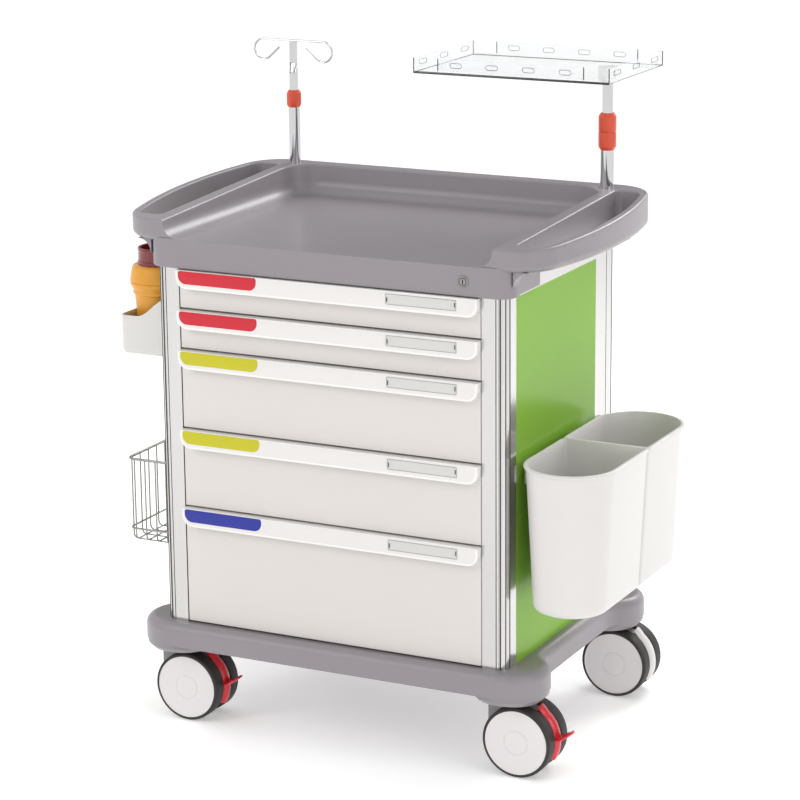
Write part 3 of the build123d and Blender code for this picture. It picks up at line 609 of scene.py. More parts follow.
# --- Cabinet ---
@dataclass
class Cabinet:
    """Dark strips painted as shade in the posts' flutes, slots and round corners, and fixings on
    the rear panel.

    Args:
        groove: Width and depth of the posts' flutes.
        slot_shade_width: Width of the dark strip painted as shade in the slot on the side faces.
        corner: Radius of the front posts' round corner.
        rear_corner: Radius of the rear posts' round corner.
        corner_shade_width: Width of the dark strips painted as shade in the round corners.
        line_angles: Places of those strips round a corner, in radians from the side face.
        strip_edge: Radius of a shade strip's own edges.
        end_gap: Distance from a shade strip's end to the post's.
        screw: Radius of the rear panel's screws.
        skirt: Depth of a screw head's straight skirt.
        lift: Distance from a head's foot to the panel.
        screw_inset: Distance from a screw's middle to the panel's side edge.
        screw_end: Distance from the end screws to the panel's top and bottom.
        screw_rows: Screws up each edge of the rear panel.
    """

    groove: float = 0.0016
    slot_shade_width: float = 0.003
    corner: float = 0.018
    rear_corner: float = 0.025
    corner_shade_width: float = 0.0024
    line_angles: tuple[float, ...] = (0.12, 0.62, 1.12)
    strip_edge: float = 0.0003
    end_gap: float = 0.001
    screw: float = 0.0042
    skirt: float = 0.0006
    lift: float = 0.0001
    screw_inset: float = 0.016
    screw_end: float = 0.04
    screw_rows: int = 5

    def strip(self, x: float, y: float, width: float, depth: float, low: float,
              high: float) -> Skin:
        """Upright strip with rounded edges, from low to high."""
        outline = rounded(width, depth, self.strip_edge, 3)
        return slab(outline, low, high, self.strip_edge, "z", (x, y, 0.0))

    def paint_post_shade_lines(self) -> None:
        """Dark strips painted as shade at the bottom of the front posts' flutes, in their side
        slots and in the round corners of all four posts.
        """
        low, high = box("front_posts")
        bottom, top = low[2] + self.end_gap, high[2] - self.end_gap
        skins = []
        for side, edge in ((1, high[0]), (-1, low[0])):
            for step in (0, 1):
                x = edge - side * (self.corner + 3 * step * self.groove)
                skins.append(self.strip(x, low[1] + 0.75 * self.groove, 0.96 * self.groove,
                                        0.5 * self.groove, bottom, top))
            y = low[1] + self.corner - self.slot_shade_width / 2
            skins.append(self.strip(edge - side * 0.75 * self.groove, y, 0.5 * self.groove,
                                    0.96 * self.slot_shade_width, bottom, top))
            skins += self.corner_shade_lines(edge, side, low[1] + self.corner, -1.0, bottom, top)
        low, high = box("rear_posts")
        for side, edge in ((1, high[0]), (-1, low[0])):
            skins += self.corner_shade_lines(edge, side, high[1] - self.rear_corner, 1.0, bottom, top)
        # These dark strips are painted shade for the shadow inside the posts' narrow flutes, slots
        # and corner grooves.
        piece("post_flute_painted_shade", skins, Slot.TYRE_BLACK, "frame", finish=DARK_PARTS_AND_PAINTED_SHADE)

    def corner_shade_lines(self, edge: float, side: int, y: float, facing: float, bottom: float,
                     top: float) -> list[Skin]:
        """Dark strips painted as shade in a post's round corner, at angles from its side face.

        A strip's middle is (edge - r + r cos a, y + r sin a) on a corner of radius r.
        """
        radius = self.corner if facing < 0 else self.rear_corner
        skins = []
        for turn in self.line_angles:
            x = edge - side * radius * (1 - np.cos(turn))
            skins.append(self.strip(x - side * self.corner_shade_width / 3, y + facing * radius * np.sin(turn),
                                    self.corner_shade_width, self.corner_shade_width, bottom, top))
        return skins

    def screws(self) -> None:
        """Domed screw heads along both edges of the rear panel.

        A head's profile is radius cos a and height sin a, over a short straight skirt.
        """
        low, high = box("rear_panel")
        bend = np.linspace(0, 0.45 * pi, 8)
        dome = np.column_stack([self.screw * np.cos(bend), 0.35 * self.screw * np.sin(bend)])
        profile = np.concatenate([[[self.screw, -self.skirt]], dome])
        heights = np.linspace(low[2] + self.screw_end, high[2] - self.screw_end, self.screw_rows)
        skins = [lathe(profile, (x, high[1] + self.lift, z), "y", 20)
                 for x in (low[0] + self.screw_inset, high[0] - self.screw_inset)
                 for z in heights]
        piece("rear_panel_screws", skins, Slot.CHROME, "frame")

    def build(self) -> None:
        """All of the cabinet's own pieces."""
        self.paint_post_shade_lines()
        self.screws()


@dataclass
class Worktop:
    """Small fixings under the worktop.

    Args:
        bracket: Size of the black bracket under each grip's rear end.
        rise: Top of a bracket above the top rails.
        corner: Radius of a bracket's upright corners.
        edge: Radius of its other edges.
        outward: Its middle outside the rear post.
        forward: Its middle in front of the rear post's back.
    """

    bracket: Point = (0.02, 0.026, 0.024)
    rise: float = 0.0225
    corner: float = 0.004
    edge: float = 0.0015
    outward: float = 0.024
    forward: float = 0.03

    def brackets(self) -> None:
        """Two black brackets with rounded edges behind the rear ends of the grips."""
        low, high = box("rear_posts")
        top = box("top_rails")[1][2] + self.rise
        width, depth, height = self.bracket
        outline = rounded(width, depth, self.corner)
        skins = [slab(outline, top - height, top, self.edge, "z",
                      (edge + side * self.outward, high[1] - self.forward, 0.0))
                 for side, edge in ((1, high[0]), (-1, low[0]))]
        piece("grip_brackets", skins, Slot.TYRE_BLACK, "frame", finish=DARK_PARTS_AND_PAINTED_SHADE)

    def build(self) -> None:
        """All of the worktop's own pieces."""
        self.brackets()


# --- Drawers ---
@dataclass
class DrawerFace:
    """Coloured tab and label holder on one drawer's grip strip.

    Args:
        number: Drawer number, from the top.
        tab_finish: Finish of the tab.
        tab_start: Tab's left end from the strip's left end.
        tab_length: Length of the tab.
        tab_height: Height of the tab.
        tab_corner: Radius of its lower corners.
        label_end: Label's right end from the strip's right end.
        label_length: Length of the label holder.
        label_height: Height of the label holder.
        label_drop: Its top below the strip's top.
        proud: How far a fitting stands off the strip.
        border: Width of the lighter border left round the strip's face, a painted highlight on its
            rounded edges.
    """

    number: int
    tab_finish: Finish
    tab_start: float = 0.0055
    tab_length: float = 0.152
    tab_height: float = 0.0225
    tab_corner: float = 0.0145
    label_end: float = 0.0375
    label_length: float = 0.128
    label_height: float = 0.0175
    label_drop: float = 0.0045
    proud: float = 0.0006
    border: float = 0.0042

    def tab(self) -> None:
        """Tab with round lower corners, a slab across Y."""
        low, high = box(f"drawer_{self.number}_handle")
        radii = (0.004, 0.004, self.tab_corner, self.tab_corner)
        outline = rounded(self.tab_length, self.tab_height, radii, 12)
        centre = (low[0] + self.tab_start + self.tab_length / 2, low[1],
                  high[2] - self.proud - self.tab_height / 2)
        skin = slab(outline, -self.proud, 0.0005, 0.0004, "y", centre)
        piece(f"drawer_{self.number}_tab", [skin], Slot.HANDLE_WHITE, f"drawer_{self.number}",
              finish=self.tab_finish)

    def face(self) -> None:
        """Greyer face of the strip, leaving a lighter border along its lower edge and ends as a
        painted highlight on its rounded edges.
        """
        low, high = box(f"drawer_{self.number}_handle")
        border = self.border
        length, height = high[0] - low[0] - 2 * border, high[2] - low[2] - border - 0.0012
        corner = 0.02 - border
        outline = rounded(length, height, (0.001, 0.001, corner, corner), 12)
        centre = ((low[0] + high[0]) / 2, low[1], low[2] + border + height / 2)
        skin = slab(outline, -self.proud / 3, 0.0005, 0.0002, "y", centre)
        piece(f"drawer_{self.number}_strip_face", [skin], Slot.HANDLE_WHITE,
              f"drawer_{self.number}", finish=STRIP_FACE_INSIDE_HIGHLIGHT)

    def label(self) -> None:
        """Card in a thin frame, held by a dark clip at each end."""
        low, high = box(f"drawer_{self.number}_handle")
        x = high[0] - self.label_end - self.label_length / 2
        z = high[2] - self.label_drop - self.label_height / 2
        body = f"drawer_{self.number}"
        edge = 0.0009
        path = rounded(self.label_length, self.label_height, 0.0012, 5)
        path = turned(raised(path, -edge / 3), "y", (x, low[1], z))
        frame_skin = sweep(path, squircle(np.array([edge]), np.array([edge]), 0.6, 8)[0],
                           (0.0, 1.0, 0.0), wrap=True)
        piece(f"{body}_label_frame", [frame_skin], Slot.CASTER_GREY, body)
        card = rounded(self.label_length - edge, self.label_height - edge, 0.001, 4)
        skin = slab(card, -0.0005, 0.0004, 0.0002, "y", (x, low[1], z))
        piece(f"{body}_label_card", [skin], Slot.HANDLE_WHITE, body, finish=LABEL_PLATE)
        clip = rounded(0.0014, 0.45 * self.label_height, 0.0005, 4)
        clips = [slab(clip, -0.0014, 0.0004, 0.0003, "y",
                      (x + side * (self.label_length / 2 - 0.0022), low[1], z + 0.001 * side))
                 for side in (-1, 1)]
        piece(f"{body}_label_clips", clips, Slot.TYRE_BLACK, body, finish=DARK_PARTS_AND_PAINTED_SHADE)

    def build(self) -> None:
        """Strip face, tab and label holder."""
        self.face()
        self.tab()
        self.label()


# --- Casters ---
@dataclass
class Caster:
    """Wheels and brake of one twin-wheel caster.

    Args:
        place: Which caster, such as front_left.
        braked: Whether it has a red brake pedal, or a plain white cover.
        tread: Depth of the tyre.
        tyre_edge: Radius of the tyre's shoulders.
        bead: Radius of the bright ring at the disc's edge.
        cap: Radius of the ring round the hub cap.
        band_radius: Middle of the band from the axle.
        band_width: Width of the band.
        band_ends: Lower and upper end of the band, in degrees above the axle's level.
        tongue_reach: Tip of the tongue from the axle.
        tongue_width: Width of the tongue.
        tongue_rise: How far the tongue's tip climbs.
    """

    place: str
    braked: bool
    tread: float = 0.0075
    tyre_edge: float = 0.0038
    bead: float = 0.0558
    cap: float = 0.0213
    band_radius: float = 0.0612
    band_width: float = 0.0225
    band_ends: tuple[float, float] = (-32.0, 64.0)
    tongue_reach: float = 0.0885
    tongue_width: float = 0.036
    tongue_rise: float = 0.015

    @property
    def body(self) -> str:
        """The caster's body."""
        return f"caster_{self.place}"

    def wheel(self, side: str) -> None:
        """Tyre and disc of one wheel.

        The tyre is a rounded box section turned round the axle. The disc's profile runs from
        the hub cap over its ring groove and bright bead, then behind to the inner hub.

        Args:
            side: The outer or the inner wheel.
        """
        node = f"{self.body}_{side}_wheel"
        low, high = box(node)
        centre = tuple((low + high) / 2)
        radius, half = (high[2] - low[2]) / 2, (high[1] - low[1]) / 2
        section = rounded(2 * half, self.tread, self.tyre_edge - 0.0004, 7)
        crown = 0.0007 * (section[:, 0] / half) ** 2
        profile = np.column_stack([section[:, 1] + radius - self.tread / 2 - crown, section[:, 0]])
        piece(f"{node}_tyre", [lathe(profile, centre, "y", 128, wrap=True)], Slot.TYRE_BLACK,
              node, hides=(node,))
        out = -1 if side == "outer" else 1
        bead, cap, rim = self.bead, self.cap, radius - self.tread + 0.0002
        depth_at = np.array([
            (0.002, 0.0004), (0.6 * cap, 0.0006), (cap - 0.0009, 0.0009), (cap - 0.0003, 0.0017),
            (cap + 0.0003, 0.0017), (cap + 0.0009, 0.001), (0.75 * bead, 0.001),
            (bead - 0.0012, 0.0008), (bead - 0.0006, 0.0002), (bead, -0.0001),
            (bead + 0.0006, 0.0002), (rim, 0.0012), (rim, 0.0255), (bead, 0.0268),
            (bead - 0.003, 0.0262), (bead - 0.006, 0.02), (0.02, 0.018), (0.018, 0.0262),
            (0.007, 0.0264)])
        profile = np.column_stack([depth_at[:, 0], out * (half - depth_at[:, 1])])
        piece(f"{node}_disc", [lathe(profile, centre, "y", 128)], Slot.DISC_WHITE, node)

    def band(self, axle: Array) -> Skin:
        """Curved band between the wheels.

        Its path is axle + r (cos a, 0, sin a), where r grows a little towards the upper end,
        and its section is a wide ridge that narrows to the lower end.

        Args:
            axle: Middle of the axle.

        Returns:
            The closed surface.
        """
        angle = np.linspace(*self.band_ends, 48)
        flare = smooth(angle, self.band_ends[1] - 16, self.band_ends[1])
        radius = self.band_radius + 0.0035 * flare
        turn = np.radians(angle)
        path = axle + np.column_stack([radius * np.cos(turn), 0 * turn, radius * np.sin(turn)])
        taper = 0.8 + 0.2 * smooth(angle, self.band_ends[0], self.band_ends[0] + 20)
        ridge = np.array([(0.0042, -0.18), (0.0042, 0.18), (0.0022, 0.36), (-0.0012, 0.5),
                          (-0.0032, 0.47), (-0.0032, -0.47), (-0.0012, -0.5), (0.0022, -0.36)])
        width = self.band_width * taper
        depth = np.broadcast_to(ridge[:, 0], (len(angle), len(ridge)))
        return sweep(path, np.stack([depth, np.outer(width, ridge[:, 1])], -1), (0.0, -1.0, 0.0))

    def tongue(self, axle: Array) -> Skin:
        """Foot tongue that curves up from the band to a round tip.

        Its path climbs with the square of the way out. Its half width eases from the neck's to
        the full width, and closes over the last part as the root of 1 - t squared.

        Args:
            axle: Middle of the axle.

        Returns:
            The closed surface.
        """
        share = np.concatenate([np.linspace(0, 0.9, 24), 0.9 + 0.1 * np.sin(np.linspace(
            0.1, pi / 2, 10))])
        start = self.band_radius - 0.001
        out = start + share * (self.tongue_reach - start)
        climb = 0.0055 + self.tongue_rise * share ** 1.6
        path = axle + np.column_stack([out, 0 * out, climb])
        neck = self.band_width + (self.tongue_width - self.band_width) * smooth(share, 0.1, 0.3)
        tip = np.sqrt(np.clip(1 - np.clip((share - 0.62) / 0.38, 0, 1) ** 2, 0.004, 1))
        return sweep(path, squircle(0.0062 - 0.0018 * share, neck * tip, 0.5), (0.0, -1.0, 0.0))

    def brake(self) -> None:
        """Red pedal on a front caster, or the white cover of a rear one."""
        node = f"{self.body}_brake_pedal" if self.braked else f"{self.body}_cover"
        wheel_low, wheel_high = box(f"{self.body}_outer_wheel")
        inner_low, inner_high = box(f"{self.body}_inner_wheel")
        axle = (wheel_low + inner_high) / 2
        axle[2] = (wheel_low[2] + wheel_high[2]) / 2
        if self.braked:
            piece(f"{node}_lever", [self.band(axle), self.tongue(axle)], Slot.PEDAL_RED, node,
                  hides=(node,), crease=28.0)
        else:
            piece(f"{node}_band", [self.band(axle)], Slot.DISC_WHITE, self.body, hides=(node,),
                  crease=28.0)

    def build(self) -> None:
        """Both wheels and the brake or cover."""
        self.wheel("outer")
        self.wheel("inner")
        self.brake()


# --- Poles ---
@dataclass
class InfusionHook:
    """Flattened pole top with a wire hook at each end of its crossbar.

    Args:
        tube: Radius of the pole's tube.
        blade: Thickness of the flattened part.
        neck: Height over which the tube flattens.
        wire: Radius of the wire.
        curl: Radius of the hooks' bend.
        curl_turn: How far the bend goes round, in degrees.
        tip: Length of the straight tip.
    """

    tube: float = 0.008
    blade: float = 0.003
    neck: float = 0.02
    wire: float = 0.0021
    curl: float = 0.0185
    curl_turn: float = 222.0
    tip: float = 0.03

    def flattened(self, axis: Array, low: float, high: float) -> Skin:
        """Tube that eases from round to flat: its depth shrinks as its section squares up.

        Args:
            axis: Middle of the tube, seen from above.
            low: Where the flattening starts.
            high: Top of the blade.

        Returns:
            The closed surface.
        """
        height = np.concatenate([np.linspace(low, low + self.neck, 14),
                                 np.linspace(low + self.neck + 0.002, high - 0.004, 6),
                                 high - 0.004 + 0.004 * np.sin(np.linspace(0.3, pi / 2, 5))])
        flat = smooth(height, low, low + self.neck)
        depth = 2 * self.tube * (1 - flat) + self.blade * flat
        width = np.full(len(height), 2 * self.tube)
        width *= np.sqrt(np.clip(1 - 0.6 * smooth(height, high - 0.006, high) ** 2, 0, 1))
        sections = squircle(width, depth, 0.85, 40)
        rings = np.concatenate([sections, np.broadcast_to(
            height[:, None, None], (*sections.shape[:2], 1))], axis=-1)
        return loft(rings + np.array([axis[0], axis[1], 0.0]))

    def wire_path(self, reach: float, height: float) -> Array:
        """Half of the wire: out along X, round the bend and back along the straight tip.

        Args:
            reach: Furthest point from the pole.
            height: Height of the crossbar.

        Returns:
            Path points in the plane of X and Z.
        """
        bend_x = reach - self.curl
        start = np.column_stack([np.linspace(0, bend_x, 24)[:-1], np.full(23, height)])
        bend = arc((bend_x, height - self.curl), self.curl, 90, 90 - self.curl_turn, 48)
        ahead = radians(-self.curl_turn)
        steps = np.linspace(0, self.tip, 10)[1:, None]
        return np.concatenate([start, bend, bend[-1] + steps * (np.cos(ahead), np.sin(ahead))])

    def build(self) -> None:
        """Blade and wire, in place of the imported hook."""
        low, high = box("iv_hook")
        tube_low, tube_high = box("iv_tube")
        axis = (tube_low + tube_high) / 2
        height = high[2] - self.wire
        half = self.wire_path(high[0] - axis[0] - self.wire, height)
        path = np.concatenate([half[::-1] * (-1, 1), half[1:]])
        path = turned(raised(path, 0.0), "y", (axis[0], axis[1], 0.0))
        skins = [self.flattened(axis, tube_high[2] - 0.0005, height + 0.001),
                 sweep(path, circle(self.wire, 14), (0.0, 1.0, 0.0))]
        piece("iv_hook_wire", skins, Slot.CHROME, "iv_hook", hides=("iv_hook",))


@dataclass
class ShelfEdgeShade:
    """Dark lines painted along the clear shelf's edges, as painted shade for the dark look of
    light bending through its clear edges.

    Args:
        sheet: Thickness of the shelf's sheet.
        edge: Radius of the dark line along an edge.
        front: The same, along the front.
        flange: Length of the flanges along X.
        rim: Radius of the dark rim round a slot.
        front_slot: Length and height of the slots in front and behind.
        front_pitch: Middle to middle of those slots.
        side_slot: Length and height of the slots at the sides.
        side_pitch: Middle to middle of those slots.
    """

    sheet: float = 0.004
    edge: float = 0.0009
    front: float = 0.002
    flange: float = 0.27
    rim: float = 0.00045
    front_slot: tuple[float, float] = (0.022, 0.008)
    front_pitch: float = 0.0675
    side_slot: tuple[float, float] = (0.03, 0.008)
    side_pitch: float = 0.0847

    def bar(self, start: Point, end: Point, radius: float | None = None) -> Skin:
        """Straight bar of rounded section from start to end."""
        radius = radius or self.edge
        path = np.linspace(start, end, 3)
        run = np.array(end) - np.array(start)
        up = (1.0, 0.0, 0.0) if abs(run[2]) > 0 else (0.0, 0.0, 1.0)
        return sweep(path, circle(radius, 10), up)

    def slots(self) -> list[Skin]:
        """Thin dark rims painted round the oblong slots of all four flanges, as painted shade at
        their clear edges.

        A rim is a round section carried along a slot's outline: a rectangle whose corner radius
        is half its height.
        """
        low, high = box("clear_shelf")
        centre = (np.array(low) + np.array(high)) / 2 + (0.0, 0.0, self.sheet / 2)
        skins = []
        for along, count, pitch, size in ((0, 4, self.front_pitch, self.front_slot),
                                          (1, 3, self.side_pitch, self.side_slot)):
            across = 1 - along
            facing = (0.0, 1.0, 0.0) if across else (1.0, 0.0, 0.0)
            outline = rounded(*size, size[1] / 2)
            outline = outline[np.linalg.norm(outline - np.roll(outline, 1, axis=0), axis=1) > 1e-6]
            for face in (low[across], high[across]):
                for step in (np.arange(count) - (count - 1) / 2) * pitch:
                    path = np.tile(centre, (len(outline), 1))
                    path[:, along] += step + outline[:, 0]
                    path[:, 2] += outline[:, 1]
                    path[:, across] = face
                    skins.append(sweep(path, circle(self.rim, 6), facing, wrap=True))
        return skins

    def build(self) -> None:
        """Bars along the lower edge all round, the flanges' ends and the side flanges' tops."""
        low, high = box("clear_shelf")
        middle = (low[0] + high[0]) / 2
        skins = []
        for y in (low[1], high[1]):
            width = self.front if y == low[1] else self.edge
            skins.append(self.bar((low[0], y, low[2]), (high[0], y, low[2]), width))
            for side in (-1, 1):
                x = middle + side * self.flange / 2
                skins.append(self.bar((x, y, low[2] + self.sheet), (x, y, high[2])))
        for x in (low[0], high[0]):
            skins.append(self.bar((x, low[1], low[2]), (x, high[1], low[2])))
            for y in (low[1], high[1]):
                skins.append(self.bar((x, y, low[2]), (x, y, high[2])))
        skins += self.slots()
        piece("clear_shelf_painted_edge_shade", skins, Slot.CLEAR_ACRYLIC, "monitor_shelf", finish=SHELF_EDGE_SHADE)


def polish_tubes() -> None:
    """Bright polish for the pole's tubes and the shelf's mast."""
    for node in ("iv_tube", "iv_socket", "shelf_mast", "shelf_socket"):
        for holder in frame["nodes"][node].material_slots:
            holder.material = FINISHES[Slot.CHROME].material()


@dataclass
class Lock:
    """Dark ring between the lock's barrel and its plug.

    Args:
        ring: Radius of the ring's own section.
    """

    ring: float = 0.0007

    def build(self) -> None:
        """The ring, and a duller metal on the barrel and plug."""
        low, high = box("lock_plug")
        radius = (high[0] - low[0]) / 2
        centre = ((low[0] + high[0]) / 2, low[1], (low[2] + high[2]) / 2)
        profile = circle(self.ring, 8) + np.array([radius, 0.0])
        piece("lock_ring", [lathe(profile, centre, "y", 64, wrap=True)], Slot.TYRE_BLACK,
              "frame", finish=DARK_PARTS_AND_PAINTED_SHADE)
        for node in ("lock_barrel", "lock_plug"):
            for holder in frame["nodes"][node].material_slots:
                holder.material = SATIN_NICKEL.material()


@dataclass
class ClampRing:
    """Lobed plastic clamp ring with chamfered ends.

    Args:
        node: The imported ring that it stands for.
        body: The body that it moves with.
        chamfers: Chamfer at the lower and the upper end.
        lobes: Lobes round the ring.
        depth: Share of the radius between a lobe's top and its foot.
    """

    node: str
    body: str
    chamfers: tuple[float, float]
    lobes: int = 8
    depth: float = 0.05

    def build(self) -> None:
        """A profile from the lower chamfer up the side and over the upper one."""
        low, high = box(self.node)
        radius, tall = (high[0] - low[0]) / 2, high[2] - low[2]
        lower, upper = self.chamfers
        grip = radius + 0.0002
        profile = np.array([
            (0.6 * grip, 0.0001), (grip - lower, 0.0001), (grip - lower / 3, lower),
            (grip, 1.4 * lower + 0.001), (grip, tall / 2), (grip, tall - 1.4 * upper - 0.001),
            (grip - upper / 3, tall - upper), (grip - upper, tall - 0.0001),
            (0.6 * grip, tall - 0.0001)])
        centre = ((low[0] + high[0]) / 2, (low[1] + high[1]) / 2, low[2])
        piece(f"{self.node}_grip", [lathe(profile, centre, "z", 128, lobes=self.lobes,
                                          depth=self.depth)],
              Slot.ORANGE_KNOB, self.body, hides=(self.node,), crease=24.0)


# --- Bins ---
@dataclass
class WasteBin:
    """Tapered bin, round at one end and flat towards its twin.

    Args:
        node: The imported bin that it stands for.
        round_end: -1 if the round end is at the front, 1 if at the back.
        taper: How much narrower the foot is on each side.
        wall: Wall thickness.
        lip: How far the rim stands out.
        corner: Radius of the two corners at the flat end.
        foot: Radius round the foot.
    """

    node: str
    round_end: int
    taper: float = 0.013
    wall: float = 0.003
    lip: float = 0.004
    corner: float = 0.008
    foot: float = 0.01
    hook_length: float = 0.06

    def plan(self, inset: Array, shrink: Array, half: float, length: float) -> Array:
        """D-shaped outlines about the middle of the flat end.

        The round end is a half circle whose radius is the half width left after both insets,
        and the flat end has two quarter circles.

        Args:
            inset: How far each outline is moved in by the wall, on every side.
            shrink: How far each is moved in by the taper, on the round and long sides.
            half: Half of the width before either.
            length: Length before either.

        Returns:
            Outlines as (outline, point, 2), with the flat end at zero.
        """
        inset, shrink = inset[:, None], shrink[:, None]
        width = half - inset - shrink
        front = -length + inset + shrink
        around = np.linspace(pi, tau, 40)
        nose_x, nose_y = width * np.cos(around), front + width + width * np.sin(around)
        corner = np.full_like(width, self.corner) - np.clip(inset, 0, self.corner / 2)
        back = -np.clip(inset, 0, None) - corner
        right = np.linspace(0, pi / 2, 8)
        left = right + pi / 2
        x = np.concatenate([nose_x, width - corner + corner * np.cos(right),
                            -width + corner + corner * np.cos(left)], axis=1)
        y = np.concatenate([nose_y, back + corner * np.sin(right),
                            back + corner * np.sin(left)], axis=1)
        return np.stack([x, y], -1)

    def build(self) -> None:
        """Outside from the foot up to the rolled rim, then down the inside to the floor."""
        low, high = box(self.node)
        tall, outer = high[2] - low[2], high[0] - self.lip
        half = 0.077
        bend = np.linspace(0, pi / 2, 7)
        foot_in, foot_up = self.foot * (1 - np.sin(bend)), self.foot * (1 - np.cos(bend))
        roll = np.linspace(-pi / 2, pi / 2, 9)
        wall_up = np.linspace(self.foot + 0.004, tall - 0.008, 14)
        lip_middle = tall - 0.003
        inside = np.linspace(tall - 0.0015, self.wall + self.foot, 14)
        inset = np.concatenate([
            foot_in, 0 * wall_up, [0.0, 0.0006], -self.lip + 0.0028 - 0.0028 * np.cos(roll),
            [self.wall - 0.0006], self.wall + 0 * inside, self.wall + foot_in[::-1]])
        height = np.concatenate([
            foot_up, wall_up, [tall - 0.0066, tall - 0.006], lip_middle + 0.0028 * np.sin(roll),
            [tall - 0.0002], inside, self.wall + foot_up[::-1]])
        shrink = self.taper * (1 - height / tall)
        length = (high[1] - low[1]) - self.lip
        plan = self.plan(inset, shrink, half, length)
        flat_y = high[1] if self.round_end < 0 else low[1]
        y = flat_y - self.round_end * plan[..., 1]
        rings = np.stack([plan[..., 0] + outer - half, y,
                          np.broadcast_to(low[2] + height[:, None], y.shape)], -1)
        hook = self.hook(low, high, outer - 2 * half)
        piece(f"{self.node}_tub", [loft(rings)], Slot.BIN_GREY, self.node, hides=(self.node,))
        piece(f"{self.node}_hook", [hook], Slot.BIN_GREY, self.node)

    def hook(self, low: Array, high: Array, inner: float) -> Skin:
        """Tongue that goes over the rail and down behind it, a bent strip along Y.

        Args:
            low: Bin box's lowest corner.
            high: Bin box's highest corner.
            inner: The bin wall's face on the cabinet's side.

        Returns:
            The closed surface.
        """
        top = high[2] - 0.016 + 0.00155
        path = np.concatenate([
            np.column_stack([np.linspace(inner + 0.002, low[0] + 0.0045, 6), np.full(6, top)]),
            arc((low[0] + 0.0045, top - 0.0032), 0.0032, 90, 180, 8)[1:],
            np.column_stack([np.full(4, low[0] + 0.0013), np.linspace(top - 0.005, top - 0.012,
                                                                      4)])])
        tongue_y = high[1] - 0.1 if self.round_end < 0 else low[1] + 0.1
        path = turned(raised(path, 0.0), "y", (0.0, tongue_y, 0.0))
        section = squircle(np.array([0.0022]), np.array([self.hook_length]), 0.3, 24)[0]
        return sweep(path, section, (0.0, 1.0, 0.0))


